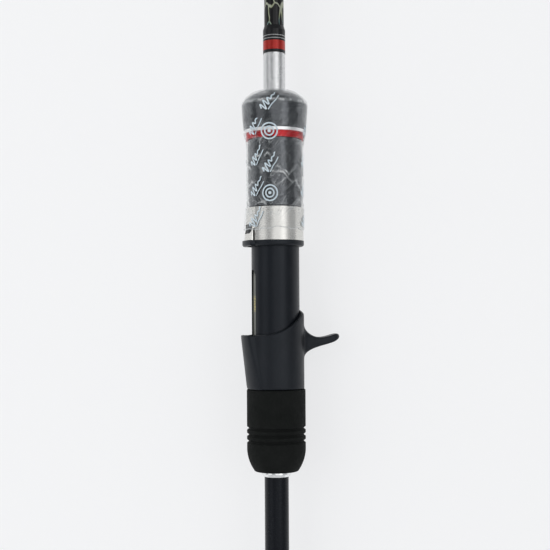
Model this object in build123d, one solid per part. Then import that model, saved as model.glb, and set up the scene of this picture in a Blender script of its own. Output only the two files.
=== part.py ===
from build123d import *
import math
import os

# A one-piece casting rod for slow jigging, built upright: +Z runs from the butt to the tip,
# the origin is on the rod's axis at the butt face, the guides and the reel sit on the -X side
# and the finger trigger points to +X. All sizes are in millimetres.

# ---------------------------------------------------------------- fits and gaps
running_gap = 0.05       # radial, for what slides or turns on the seat tube and the sleeve
glue_gap = 0.05          # radial, for what is bonded on a tube
free_gap = 0.35          # between faces of different bodies that never touch
film_gap = 0.15          # between the protective film and what it covers
film_thickness = 0.2
press_gap = 0.02         # radial, for what is pressed into a shell
spare = 2.0              # how far a cutter reaches past what it cuts

# ---------------------------------------------------------------- blank and handle tube
rod_length = 1680.0
blank_butt_radius = 5.65
blank_seat_radius = 5.2
blank_tip_radius = 1.1
blank_wall = 1.2
blank_tip_wall = 0.6
blank_step_gap = 2.0     # below the sleeve, where the blank has its seat radius
tip_straight = 16.0
handle_tube_wall = 0.7
handle_tube_gap = 40.0   # bare blank between the handle tube and the sleeve
handle_tube_radius = blank_butt_radius + glue_gap + handle_tube_wall

# ---------------------------------------------------------------- butt end
butt_cap_length = 22.0
butt_cap_floor = 4.0
butt_cap_rounding = 2.5
butt_trim_length = 3.0
butt_trim_inset = 0.4
butt_grip_length = 83.0
butt_grip_radius = 14.5
butt_grip_neck_radius = 11.0
butt_grip_taper = 14.0
butt_check_length = 3.5
butt_check_radius = 9.6

# ---------------------------------------------------------------- exposed tube and rear grip
rear_tube_length = 179.5
check_foot_rise = 0.8
check_bevel_share = 0.55 # of a check's length, where it reaches its full radius
rear_check_length = 2.7
rear_check_radius = 8.0
rear_grip_length = 43.2
rear_grip_radius = 15.55
rear_grip_end_radius = 11.5
rear_grip_taper = 10.8
groove_count = 3
groove_first = 16.0      # from the grip's lower end
groove_pitch = 3.4
groove_depth = 1.0
groove_half_width = 0.75

# ---------------------------------------------------------------- reel seat
seat_tube_radius = 12.65
seat_wall = 2.65
seat_bore_radius = seat_tube_radius - seat_wall
thread_step = 1.05
barrel_radius = seat_tube_radius - thread_step
hood_wall = 2.35
hood_radius = seat_tube_radius + hood_wall
hood_back_length = 27.7  # fixed hood, from the rear grip to its mouth
hood_front_rise = 14.4   # how far the trigger side stands above the mouth
hood_sweep_radius = 30.0
hood_sweep_offset = 12.0 # from the axis to the swept edge's centre, towards the reel
hood_lip_rise = 1.2      # how far the swept edge starts above the mouth
pocket_half_width = 6.3
pocket_end_half_width = 5.5
pocket_depth = 13.0
pocket_wall = 1.5
tunnel_half_width = 7.0
tunnel_rear_half_width = 11.0
tunnel_mouth_height = seat_tube_radius + 5.95
tunnel_rear_height = seat_tube_radius + 2.75
tunnel_crown = 1.6
tunnel_rear_crown = 4.2
slot_half_width = 3.9
slot_depth = 2.0
slot_length = 48.4       # from the fixed hood's pocket floor to the slot's rounded end
saddle_thickness = 0.6
trigger_length = 20.6    # from the hood's surface to the trigger's tip
trigger_half_width = 5.5
trigger_tip_radius = 1.7
trigger_tip_half_width = 3.8
trigger_drop = 3.6       # from the mouth's level down to the trigger's middle at its root
trigger_rise = 5.2       # how far the tip stands above the root's middle
trigger_sunk = 2.0       # how far the root reaches into the hood's wall
trigger_flare_up = 12.4  # from the root's middle to the upper end of its curve
trigger_flare_down = 9.4
trigger_bend = 6.0       # from the hood's surface to where the trigger is thinnest
trigger_bend_top = 3.6
trigger_bend_low = 2.5
trigger_tip_lean = 0.55
arbor_length = 15.0
rear_arbor_inset = 4.0
middle_arbor_inset = 2.0
front_arbor_inset = 1.0

# ---------------------------------------------------------------- moving hood
foot_gap = 47.6          # between the two hoods' mouths
flange_thickness = 2.9
flange_radius = seat_tube_radius + 2.5
flange_height = seat_tube_radius + 4.75
flange_half_width = 7.6
shell_length = 17.4
shell_radius = seat_tube_radius + 2.3
shell_thickness = 0.8
shell_tunnel_height = seat_tube_radius + 3.75
shell_tunnel_crown = 1.6
shell_top_crown = 1.75
window_height = 5.0
window_half_width = 6.5
window_corner = 2.4
window_above_flange = 3.6
liner_length = 12.0
liner_roof = 0.5
liner_pocket_depth = 8.4
liner_pocket_fall = 0.9
collar_length = 2.7
collar_radius = seat_tube_radius + 1.2
neck_radius = seat_tube_radius + 0.65
retainer_inset = 0.1     # below the shell's upper edge

# ---------------------------------------------------------------- lock nut and foregrip
thread_pitch = 2.0       # one turn of the foregrip moves the hood this far
close_turns = 3
open_turns = 7
nut_radius = seat_tube_radius + 0.25
nut_skirt = 2.5          # plain bore below the nut's thread
nut_wall_top = 3.1
foregrip_rear_length = 35.5
foregrip_rear_radius = seat_tube_radius + 2.25
foregrip_waist_radius = seat_tube_radius + 1.75
foregrip_waist_length = 10.35
red_ring_length = 3.3
red_ring_radius = foregrip_rear_radius + 0.2
silver_ring_length = 1.6
silver_ring_radius = red_ring_radius + 1.35
foregrip_front_length = 20.8
foregrip_front_radius = silver_ring_radius + 1.0
foregrip_shoulder = 8.4
foregrip_top_radius = 8.5
foregrip_lip = 1.4
front_bush_length = 8.0
film_on_hood = 12.0
film_step = 3.0          # length of the film's slope up to the rings
film_edge_inset = 0.5
film_edge_rise = 2.94    # how far the film reaches past the shoulder

# ---------------------------------------------------------------- sleeve and winding
sleeve_show = 20.1
sleeve_wall = 0.5
sleeve_radius = blank_seat_radius + glue_gap + sleeve_wall
sleeve_engagement = 22.0
nut_nose_bore = sleeve_radius + 1.25
nut_nose_radius = nut_nose_bore + 2.0
foregrip_mouth_radius = sleeve_radius + 0.65
wrap_thickness = 0.7
wrap_radius = blank_seat_radius + wrap_thickness
wrap_feather = 0.05
wrap_collar_length = 1.6
red_band_length = 4.7
wrap_front_length = 8.2
wrap_nose_length = 2.2
silver_line_offsets = (1.0, 2.5)
silver_line_width = 0.4
silver_line_depth = 0.15

# ---------------------------------------------------------------- guides
ring_bores = (3.1, 3.1, 3.1, 3.1, 3.7, 4.7, 6.2)   # radii, tip to butt
butt_guide_rise = 253.0  # from the end of the winding to the butt guide
guide_growth = 1.135     # each gap is this much longer than the one nearer the tip
ring_wall = 1.0
ring_length = 2.2
band_wall = 0.7
band_length = 1.6
plate_thickness = 0.9
plate_arm = 1.1
plate_apex_radius = 0.6
plate_apex_gap = 3.9
leg_share = 1.15         # free height under the ring's band, per millimetre of bore radius
rear_lean = 0.85
front_lean = 0.6
foot_half_width = 1.5
foot_height = 0.9
foot_length = 9.0
foot_root = 1.0          # how deep a foot reaches in before the blank is cut away
foot_taper = 0.6
foot_wrap_thickness = 0.35
foot_wrap_overrun = 3.0
foot_wrap_gap = 2.0
tip_bore = 3.0
tip_tube_wall = 0.5
tip_tube_length = 12.0
tip_tube_cover = 10.0    # how much of the tip tube is pushed over the blank
tip_reach = 8.0          # from the tip tube's end up to the rod's end
tip_overlap = 0.4        # share of the tip tube's radius that the ring's band overlaps
tip_leg_length = 12.0
tip_wrap_length = 6.0

# ---------------------------------------------------------------- heights along the rod
z_trim = butt_cap_length
z_butt_grip = z_trim + butt_trim_length
z_butt_check = z_butt_grip + butt_grip_length
z_rear_check = z_butt_check + butt_check_length + rear_tube_length
z_rear_grip = z_rear_check + rear_check_length
z_seat = z_rear_grip + rear_grip_length
z_mouth = z_seat + hood_back_length
z_flange = z_mouth + foot_gap
z_shell = z_flange + flange_thickness
z_liner_top = z_shell + liner_length
z_collar = z_liner_top + free_gap
z_neck = z_collar + collar_length
z_retainer = z_neck + free_gap
z_shell_top = z_shell + shell_length
z_foregrip = z_shell_top + free_gap
z_red_ring = z_foregrip + foregrip_rear_length
z_silver_ring = z_red_ring + red_ring_length
z_front_grip = z_silver_ring + silver_ring_length
z_grip_top = z_front_grip + foregrip_front_length
z_wrap = z_grip_top + max(sleeve_show, open_turns * thread_pitch + free_gap)
z_red_band = z_wrap + wrap_collar_length
z_wrap_front = z_red_band + red_band_length
z_wrap_end = z_wrap_front + wrap_front_length
close_travel = close_turns * thread_pitch
z_nut_step = z_foregrip + nut_skirt
z_barrel = z_nut_step - close_travel - free_gap
z_nut_roof = z_front_grip - nut_wall_top
z_barrel_top = z_nut_roof - close_travel - free_gap
z_sleeve = z_barrel_top - sleeve_engagement
z_tube_top = z_sleeve - handle_tube_gap
z_blank_top = rod_length - tip_reach - tip_tube_length + tip_tube_cover


# ---------------------------------------------------------------- building blocks
def ring(z_low, z_high, inner, outer):
    """A plain ring or tube about the rod's axis."""
    return Pos(0, 0, z_low) * extrude(Circle(outer) - Circle(inner), z_high - z_low)


def post(z_low, z_high, radius):
    """A plain solid cylinder about the rod's axis."""
    return Pos(0, 0, z_low) * extrude(Circle(radius), z_high - z_low)


def turned(outline):
    """A solid of revolution from closed lines or curves drawn as (radius, height)."""
    return revolve(make_face(Plane.XZ * outline), Axis.Z)


def turned_points(*points):
    """A solid of revolution from a straight-sided outline of (radius, height) points."""
    return turned(Polyline(*points, close=True))


def crowned(height, crown, half_width, z):
    """The cross-section of a foot tunnel: straight sides and a crowned roof towards -X."""
    side = height - crown
    outline = (
        Line((0, -half_width), (-side, -half_width))
        + ThreePointArc((-side, -half_width), (-height, 0), (-side, half_width))
        + Line((-side, half_width), (0, half_width))
        + Line((0, half_width), (0, -half_width))
    )
    return Pos(0, 0, z) * make_face(outline)


def tunnel(z_low, low, z_high, high):
    """A foot tunnel between two heights; low and high are (height, crown, half width)."""
    return loft([crowned(*low, z_low), crowned(*high, z_high)])


def blank_radius(z):
    """The blank's outer radius in its tapered stretch above the winding."""
    share = (z - z_wrap_end) / (z_blank_top - tip_straight - z_wrap_end)
    return blank_seat_radius + (blank_tip_radius - blank_seat_radius) * min(max(share, 0.0), 1.0)


# ---------------------------------------------------------------- blank and handle tube
def blank_envelope():
    """The blank without its bore."""
    z_low = butt_cap_floor
    z_narrow = z_sleeve - blank_step_gap
    return turned_points(
        (0, z_low),
        (blank_butt_radius, z_low),
        (blank_butt_radius, z_tube_top),
        (blank_seat_radius, z_narrow),
        (blank_seat_radius, z_wrap_end),
        (blank_tip_radius, z_blank_top - tip_straight),
        (blank_tip_radius, z_blank_top),
        (0, z_blank_top),
    )


def make_blank():
    return blank_envelope() - turned_points(
        (0, butt_cap_floor),
        (blank_seat_radius - blank_wall, butt_cap_floor),
        (blank_seat_radius - blank_wall, z_wrap_end),
        (blank_tip_radius - blank_tip_wall, z_blank_top - tip_straight),
        (blank_tip_radius - blank_tip_wall, z_blank_top),
        (0, z_blank_top),
    )


def make_handle_tube():
    return ring(butt_cap_floor, z_tube_top, blank_butt_radius + glue_gap, handle_tube_radius)


# ---------------------------------------------------------------- butt end
def make_butt_cap():
    body = extrude(Circle(butt_grip_radius), butt_cap_length)
    body = fillet(body.faces().sort_by(Axis.Z)[0].edges(), butt_cap_rounding)
    bore = post(butt_cap_floor, butt_cap_length, handle_tube_radius + glue_gap)
    return body - bore


def make_butt_trim():
    return ring(z_trim, z_butt_grip, handle_tube_radius + glue_gap, butt_grip_radius - butt_trim_inset)


def make_butt_grip():
    bore = handle_tube_radius + glue_gap
    z_taper = z_butt_check - butt_grip_taper
    outline = (
        Line((bore, z_butt_grip), (butt_grip_radius, z_butt_grip))
        + Line((butt_grip_radius, z_butt_grip), (butt_grip_radius, z_taper))
        + TangentArc((butt_grip_radius, z_taper), (butt_grip_neck_radius, z_butt_check), tangent=(0, 1))
        + Line((butt_grip_neck_radius, z_butt_check), (bore, z_butt_check))
        + Line((bore, z_butt_check), (bore, z_butt_grip))
    )
    return turned(outline)


def make_check(z_low, length, radius):
    """A dished winding check: wide where it meets the grip, narrow where it meets the tube."""
    bore = handle_tube_radius + glue_gap
    z_high = z_low + length
    return turned_points(
        (bore, z_low),
        (handle_tube_radius + check_foot_rise, z_low),
        (radius, z_low + check_bevel_share * length),
        (radius, z_high),
        (bore, z_high),
    )


def make_butt_check():
    upright = make_check(0, butt_check_length, butt_check_radius)
    return Pos(0, 0, z_butt_check + butt_check_length) * Rot(180, 0, 0) * upright


def make_rear_check():
    return make_check(z_rear_check, rear_check_length, rear_check_radius)


# ---------------------------------------------------------------- rear grip
def groove(z):
    """A V-shaped groove round the rear grip."""
    reach = rear_grip_radius + groove_depth
    return turned_points(
        (rear_grip_radius - groove_depth, z),
        (reach, z - 2 * groove_half_width),
        (reach, z + 2 * groove_half_width),
    )


def make_rear_grip():
    bore = handle_tube_radius + glue_gap
    z_taper = z_rear_grip + rear_grip_taper
    outline = (
        Line((bore, z_rear_grip), (rear_grip_end_radius, z_rear_grip))
        + TangentArc((rear_grip_radius, z_taper), (rear_grip_end_radius, z_rear_grip), tangent=(0, -1))
        + Line((rear_grip_radius, z_taper), (rear_grip_radius, z_seat))
        + Line((rear_grip_radius, z_seat), (bore, z_seat))
        + Line((bore, z_seat), (bore, z_rear_grip))
    )
    body = turned(outline)
    for number in range(groove_count):
        body -= groove(z_rear_grip + groove_first + number * groove_pitch)
    return body


# ---------------------------------------------------------------- fixed hood with its trigger
def trigger_blade():
    """The finger trigger: a curved claw, drawn from the side and narrowed towards its tip."""
    root = hood_radius - trigger_sunk
    bend = hood_radius + trigger_bend
    tip = hood_radius + trigger_length - trigger_tip_radius
    z_root = z_mouth - trigger_drop
    z_tip = z_root + trigger_rise - trigger_tip_radius
    top_tip = (tip - trigger_tip_lean, z_tip + trigger_tip_radius)
    low_tip = (tip + trigger_tip_lean, z_tip - trigger_tip_radius)
    end_tip = (tip + trigger_tip_radius, z_tip + trigger_tip_lean / 2)
    top_root = (root, z_root + trigger_flare_up)
    low_root = (root, z_root - trigger_flare_down)
    top_middle = (bend, z_root + trigger_bend_top)
    low_middle = (bend, z_root - trigger_bend_low)
    outline = (
        Spline(top_root, top_middle, top_tip, tangents=((0.25, -1), (1, 0.32)))
        + ThreePointArc(top_tip, end_tip, low_tip)
        + Spline(low_tip, low_middle, low_root, tangents=((-1, -0.55), (-0.3, -1)))
        + Line(low_root, top_root)
    )
    side_view = extrude(make_face(Plane.XZ * outline), trigger_half_width, both=True)
    top_outline = make_hull(
        (
            Pos(root, 0) * Circle(trigger_half_width)
            + Pos(tip + trigger_tip_radius - trigger_tip_half_width, 0) * Circle(trigger_tip_half_width)
        ).edges()
    )
    tall = 2 * (trigger_flare_up + trigger_flare_down)
    top_view = Pos(0, 0, z_root - tall / 2) * extrude(top_outline, tall)
    return side_view & top_view


def hood_outer():
    """The fixed hood's outside: a round barrel with the foot tunnel growing out of it."""
    barrel = post(z_seat, z_mouth + hood_front_rise + spare, hood_radius)
    growth = (tunnel_mouth_height - tunnel_rear_height) / hood_back_length
    rise = hood_lip_rise + spare
    raised = tunnel(
        z_seat,
        (tunnel_rear_height, tunnel_rear_crown, tunnel_rear_half_width),
        z_mouth + rise,
        (tunnel_mouth_height + growth * rise, tunnel_crown, tunnel_half_width),
    )
    return barrel + raised


def hood_sweep():
    """What is cut away above the hood's swept front edge: a lying cylinder and all above it."""
    x_centre = -hood_sweep_offset
    z_low = z_mouth + hood_lip_rise
    z_centre = z_low + hood_sweep_radius
    lying = Pos(x_centre, 0, z_centre) * Rot(90, 0, 0) * Cylinder(hood_sweep_radius, 4 * hood_radius)
    reach = 2 * hood_sweep_radius
    above = Pos(0, 0, z_mouth + hood_front_rise + reach / 2) * Box(reach, reach, reach)
    beside = Pos(x_centre - reach / 2, 0, z_low + reach / 2) * Box(reach, reach, reach)
    return lying + above + beside


def foot_pocket():
    """The space in the fixed hood that takes one end of the reel's foot."""
    growth = (tunnel_mouth_height - tunnel_rear_height) / hood_back_length
    z_floor = z_mouth - pocket_depth
    low_height = tunnel_mouth_height - growth * pocket_depth - pocket_wall
    rise = hood_lip_rise + 2 * spare
    return tunnel(
        z_floor,
        (low_height, tunnel_crown, pocket_end_half_width),
        z_mouth + rise,
        (low_height + growth * (pocket_depth + rise), tunnel_crown, pocket_half_width),
    )


def make_trigger_hood():
    body = hood_outer() - hood_sweep() + trigger_blade()
    z_over = z_mouth + hood_front_rise + 2 * spare
    return body - post(z_seat - spare, z_over, seat_tube_radius + glue_gap) - foot_pocket()


# ---------------------------------------------------------------- seat tube and what it holds
def seat_slot(depth, half_width, end_gap):
    """The long slot under the reel's foot, rounded at its tip end."""
    z_low = z_mouth - pocket_depth
    z_high = z_low + slot_length - end_gap
    floor = seat_tube_radius - depth
    middle = (z_high + z_low) / 2
    shape = SlotOverall(z_high - z_low, 2 * half_width)
    upright = Plane(origin=(-floor, 0, middle), x_dir=(0, 0, 1), z_dir=(-1, 0, 0)) * shape
    return extrude(upright, depth + spare)


def make_seat_tube():
    body = ring(z_seat, z_barrel, seat_bore_radius, seat_tube_radius)
    body += ring(z_barrel, z_barrel_top, seat_bore_radius, barrel_radius)
    return body - seat_slot(slot_depth, slot_half_width, 0)


def make_saddle_plate():
    tall = seat_slot(slot_depth, slot_half_width - glue_gap, glue_gap)
    top = seat_tube_radius - slot_depth + saddle_thickness
    keep = Pos(-top / 2, 0, z_mouth) * Box(top, 4 * slot_half_width, 4 * slot_length)
    return tall & keep


def make_arbor(z_low, inner):
    return ring(z_low, z_low + arbor_length, inner + glue_gap, seat_bore_radius - glue_gap)


# ---------------------------------------------------------------- moving hood
def shell_outer(inset, z_low):
    """The moving hood's outside, or a surface that lies inset from it."""
    raised = tunnel(
        z_low,
        (shell_tunnel_height - inset, shell_tunnel_crown, tunnel_half_width - inset),
        z_shell_top,
        (shell_radius - inset, shell_top_crown, tunnel_half_width - inset),
    )
    return post(z_low, z_shell_top, shell_radius - inset) + raised


def hood_window():
    """The rounded window over the foot tunnel, where the dark liner shows."""
    z_middle = z_shell + window_above_flange + window_height / 2
    shape = RectangleRounded(window_height, 2 * window_half_width, window_corner)
    upright = Plane(origin=(-seat_tube_radius, 0, z_middle), x_dir=(0, 0, 1), z_dir=(-1, 0, 0)) * shape
    return extrude(upright, shell_tunnel_height)


def make_hood_shell():
    inside = shell_outer(shell_thickness, z_shell)
    return shell_outer(0, z_shell) - inside - hood_window()


def make_hood_liner():
    lip_height = flange_height - flange_radius
    flange = post(z_flange, z_shell, flange_radius)
    flange += tunnel(
        z_flange,
        (flange_height, shell_tunnel_crown, flange_half_width),
        z_shell,
        (flange_height, shell_tunnel_crown, flange_half_width),
    )
    flange = fillet(flange.faces().sort_by(Axis.Z)[0].outer_wire().edges(), lip_height / 2)
    core = shell_outer(shell_thickness + press_gap, z_shell)
    core &= post(z_shell, z_liner_top, 2 * shell_radius)
    pocket_roof = shell_tunnel_height - shell_thickness - liner_roof
    pocket = tunnel(
        z_flange - spare,
        (pocket_roof, shell_tunnel_crown, pocket_half_width),
        z_shell + liner_pocket_depth,
        (pocket_roof - liner_pocket_fall, shell_tunnel_crown, pocket_end_half_width),
    )
    bore = post(z_flange - spare, z_liner_top + spare, seat_tube_radius + running_gap)
    return flange + core - pocket - bore


def make_hood_retainer():
    inner = neck_radius + free_gap
    return ring(z_retainer, z_shell_top - retainer_inset, inner, shell_radius - shell_thickness)


# ---------------------------------------------------------------- lock nut and foregrip
def make_lock_nut():
    wide_bore = seat_tube_radius + running_gap
    thread_bore = barrel_radius + running_gap
    return turned_points(
        (wide_bore, z_collar),
        (collar_radius, z_collar),
        (collar_radius, z_neck),
        (neck_radius, z_neck),
        (neck_radius, z_foregrip),
        (nut_radius, z_foregrip),
        (nut_radius, z_front_grip),
        (nut_nose_radius, z_front_grip),
        (nut_nose_radius, z_grip_top - foregrip_lip),
        (nut_nose_bore, z_grip_top - foregrip_lip),
        (nut_nose_bore, z_nut_roof),
        (thread_bore, z_nut_roof),
        (thread_bore, z_nut_step),
        (wide_bore, z_nut_step),
    )


def make_foregrip_rear():
    return turned_points(
        (nut_radius, z_foregrip),
        (foregrip_waist_radius, z_foregrip),
        (foregrip_rear_radius, z_foregrip + foregrip_waist_length),
        (foregrip_rear_radius, z_red_ring),
        (nut_radius, z_red_ring),
    )


def make_foregrip_front():
    z_shoulder = z_grip_top - foregrip_shoulder
    z_lip = z_grip_top - foregrip_lip
    low_corner = (silver_ring_radius, z_front_grip)
    shoulder = (foregrip_front_radius, z_shoulder)
    top_corner = (foregrip_top_radius, z_grip_top)
    outline = (
        Line((nut_nose_radius, z_front_grip), low_corner)
        + Line(low_corner, shoulder)
        + TangentArc(shoulder, top_corner, tangent=(0.0, 1.0))
        + Line(top_corner, (foregrip_mouth_radius, z_grip_top))
        + Line((foregrip_mouth_radius, z_grip_top), (foregrip_mouth_radius, z_lip))
        + Line((foregrip_mouth_radius, z_lip), (nut_nose_radius, z_lip))
        + Line((nut_nose_radius, z_lip), (nut_nose_radius, z_front_grip))
    )
    return turned(outline)


def make_front_bush():
    z_high = z_grip_top - foregrip_lip
    return ring(z_high - front_bush_length, z_high, sleeve_radius + running_gap, nut_nose_bore)


# ---------------------------------------------------------------- protective film
def skin(points):
    """A thin turned skin outside the given (radius, height) points."""
    inner = [(radius + film_gap, z) for radius, z in points]
    outer = [(radius + film_gap + film_thickness, z) for radius, z in reversed(points)]
    return turned_points(*inner, *outer)


def make_grip_film():
    z_shoulder = z_grip_top - foregrip_shoulder
    return skin(
        [
            (foregrip_rear_radius, z_foregrip),
            (foregrip_rear_radius, z_red_ring - film_step),
            (red_ring_radius, z_red_ring),
            (silver_ring_radius, z_silver_ring),
            (silver_ring_radius, z_front_grip),
            (foregrip_front_radius, z_shoulder),
            (foregrip_front_radius - film_edge_inset, z_shoulder + film_edge_rise),
        ]
    )


def make_hood_film():
    z_low = z_shell_top - film_on_hood
    return shell_outer(-film_gap - film_thickness, z_low) - shell_outer(-film_gap, z_low)


# ---------------------------------------------------------------- sleeve and winding
def make_front_sleeve():
    return ring(z_sleeve, z_wrap, blank_seat_radius + glue_gap, sleeve_radius)


def silver_lines():
    """Two metallic threads let into the winding."""
    lines = None
    for offset in silver_line_offsets:
        z = z_wrap_front + offset
        line = ring(z, z + silver_line_width, wrap_radius - silver_line_depth, wrap_radius)
        lines = line if lines is None else lines + line
    return lines


def make_wrap_front():
    body = turned_points(
        (blank_seat_radius, z_wrap_front),
        (wrap_radius, z_wrap_front),
        (wrap_radius, z_wrap_end - wrap_nose_length),
        (blank_seat_radius + wrap_feather, z_wrap_end),
        (blank_seat_radius, z_wrap_end),
    )
    return body - silver_lines()


# ---------------------------------------------------------------- guides
def leg_plate(centre, foot, band_radius, keep_low, keep_high):
    """A stamped V plate from a foot on the blank up to the two sides of a ring."""
    dx = foot[0] - centre[0]
    dz = foot[1] - centre[1]
    length = math.hypot(dx, dz)
    plane = Plane(origin=(centre[0], 0, centre[1]), x_dir=(dx, 0, dz), z_dir=(dz, 0, -dx))
    foot_circle = Pos(length, 0) * Circle(foot_half_width)
    solid_v = make_hull((Circle(band_radius) + foot_circle).edges())
    inner_circle = Circle(band_radius - plate_arm)
    apex = Pos(length - plate_apex_gap, 0) * Circle(plate_apex_radius)
    open_v = make_hull((inner_circle + apex).edges())
    plate = extrude(plane * (solid_v - open_v), plate_thickness / 2, both=True)
    wide = 4 * (length + band_radius)
    keep = Pos(centre[0], 0, (keep_low + keep_high) / 2) * Box(wide, wide, keep_high - keep_low)
    return plate & keep


def foot_block(z_inner, z_outer, radius):
    """A guide's foot, lying along the blank and thinned towards its end."""
    top = -(radius + foot_height)
    deep = -(radius - foot_root)
    outline = Polyline(
        (deep, z_inner),
        (top, z_inner),
        (top, (z_inner + z_outer) / 2),
        (top + foot_taper, z_outer),
        (deep, z_outer),
        close=True,
    )
    return extrude(make_face(Plane.XZ * outline), foot_half_width, both=True)


def foot_wrap(z_low, z_high, radius):
    """Thread and epoxy over one foot, bulging where the foot is."""
    bump = Pos(-radius - foot_height / 2, 0) * Circle(foot_half_width + foot_wrap_thickness)
    outline = make_hull((Circle(radius + foot_wrap_thickness) + bump).edges())
    return Pos(0, 0, z_low) * extrude(outline, z_high - z_low)


def make_ceramic(x, z, bore):
    """A guide's ceramic ring, rounded inside."""
    outer = bore + ring_wall
    half = ring_length / 2
    outline = (
        Line((outer, -half), (outer, half))
        + Line((outer, half), (bore + half / 2, half))
        + ThreePointArc((bore + half / 2, half), (bore, 0), (bore + half / 2, -half))
        + Line((bore + half / 2, -half), (outer, -half))
    )
    return Pos(x, 0, z) * turned(outline)


def make_guide(z, bore, envelope):
    """One double-footed guide: its frame, its ceramic ring and its two wraps."""
    radius = blank_radius(z)
    band_radius = bore + ring_wall + band_wall
    height = band_radius + leg_share * bore
    x = -(radius + height)
    x_foot = -(radius + foot_height / 2)
    z_rear = z - rear_lean * height
    z_front = z + front_lean * height
    frame = Pos(x, 0, z - band_length / 2) * extrude(Circle(band_radius), band_length)
    z_under = z - band_length / 2
    z_over = z + band_length / 2
    frame += leg_plate((x, z), (x_foot, z_rear), band_radius, z_rear - foot_length, z_over)
    frame += leg_plate((x, z), (x_foot, z_front), band_radius, z_under, z_front + foot_length)
    frame += foot_block(z_rear + foot_root, z_rear - foot_length, radius)
    frame += foot_block(z_front - foot_root, z_front + foot_length, radius)
    frame -= Pos(x, 0, z) * Cylinder(bore + ring_wall, 4 * height)
    frame -= envelope
    covered = foot_length + foot_wrap_overrun
    wraps = foot_wrap(z_rear - covered, z_rear - foot_wrap_gap, radius)
    wraps += foot_wrap(z_front + foot_wrap_gap, z_front + covered, radius)
    wraps = wraps - envelope - frame
    return frame, make_ceramic(x, z, bore), wraps


def make_tip(envelope):
    """The tip top: a tube over the blank's end with a ring held up by a V plate."""
    z = rod_length - ring_length / 2
    inner = blank_tip_radius + glue_gap
    tube_radius = inner + tip_tube_wall
    z_low = z_blank_top - tip_tube_cover
    band_radius = tip_bore + ring_wall + band_wall
    x = -(band_radius + (1 - tip_overlap) * tube_radius)
    x_root = -tip_overlap * tube_radius
    z_over = z + band_length / 2
    frame = post(z_low, z_low + tip_tube_length, tube_radius)
    frame += Pos(x, 0, z - band_length / 2) * extrude(Circle(band_radius), band_length)
    frame += leg_plate((x, z), (x_root, z - tip_leg_length), band_radius, z_low, z_over)
    frame -= Pos(x, 0, z) * Cylinder(tip_bore + ring_wall, 4 * tip_leg_length)
    frame -= post(z_low - spare, z_blank_top, inner)
    wrap = post(z_low - tip_wrap_length, z_low, blank_tip_radius + foot_wrap_thickness) - envelope
    return frame, make_ceramic(x, z, tip_bore), wrap


# ---------------------------------------------------------------- the whole rod
def make_nodes():
    nodes = {}
    envelope = blank_envelope()
    nodes["blank"] = make_blank()
    nodes["handle_tube"] = make_handle_tube()
    nodes["butt_cap"] = make_butt_cap()
    nodes["butt_trim_ring"] = make_butt_trim()
    nodes["butt_grip"] = make_butt_grip()
    nodes["butt_check"] = make_butt_check()
    nodes["rear_check"] = make_rear_check()
    nodes["rear_grip"] = make_rear_grip()
    nodes["trigger_hood"] = make_trigger_hood()
    nodes["seat_tube"] = make_seat_tube()
    nodes["saddle_plate"] = make_saddle_plate()
    z_middle_arbor = z_tube_top - arbor_length - middle_arbor_inset
    z_front_arbor = z_barrel_top - arbor_length - front_arbor_inset
    nodes["seat_arbor_rear"] = make_arbor(z_seat + rear_arbor_inset, handle_tube_radius)
    nodes["seat_arbor_middle"] = make_arbor(z_middle_arbor, handle_tube_radius)
    nodes["seat_arbor_front"] = make_arbor(z_front_arbor, sleeve_radius)
    nodes["front_sleeve"] = make_front_sleeve()
    nodes["wrap_collar"] = ring(z_wrap, z_red_band, blank_seat_radius, wrap_radius)
    nodes["wrap_red_band"] = ring(z_red_band, z_wrap_front, blank_seat_radius, wrap_radius)
    nodes["wrap_front"] = make_wrap_front()
    nodes["wrap_silver_lines"] = silver_lines()
    nodes["hood_shell"] = make_hood_shell()
    nodes["hood_liner"] = make_hood_liner()
    nodes["hood_retainer"] = make_hood_retainer()
    nodes["hood_film"] = make_hood_film()
    nodes["lock_nut"] = make_lock_nut()
    nodes["foregrip_rear"] = make_foregrip_rear()
    nodes["trim_ring_red"] = ring(z_red_ring, z_silver_ring, nut_radius, red_ring_radius)
    nodes["trim_ring_silver"] = ring(z_silver_ring, z_front_grip, nut_radius, silver_ring_radius)
    nodes["foregrip_front"] = make_foregrip_front()
    nodes["front_bush"] = make_front_bush()
    nodes["grip_film"] = make_grip_film()
    nodes["tip_frame"], nodes["tip_ring"], nodes["tip_wrap"] = make_tip(envelope)
    span = rod_length - z_wrap_end - butt_guide_rise
    gap = span * (guide_growth - 1) / (guide_growth ** len(ring_bores) - 1)
    z = rod_length
    for number, bore in enumerate(ring_bores, start=1):
        z -= gap
        gap *= guide_growth
        frame, ceramic, wraps = make_guide(z, bore, envelope)
        nodes[f"guide_{number}_frame"] = frame
        nodes[f"guide_{number}_ring"] = ceramic
        nodes[f"guide_{number}_wraps"] = wraps
        print(f"guide {number}: height {z:.2f}, ring centre x {ceramic.center().X:.2f}, bore {bore}")
    return nodes


os.makedirs("parts", exist_ok=True)
for name, solid in make_nodes().items():
    export_step(solid, f"parts/{name}.step")
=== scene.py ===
# %% [markdown]
# # A jigging rod's handle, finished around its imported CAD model
# The rod stands upright. Its CAD pieces are already in the right place and at the right size, so
# this file only gives them finishes, and rebuilds the pieces whose look needs finer meshes: the
# foam grips, the trigger hood and the shrunk film. We start by loading the frame.

# %% Load the frame
import math

import bmesh
import bpy
import numpy as np
from mathutils import Matrix, Vector, noise
from mathutils.bvhtree import BVHTree


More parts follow.
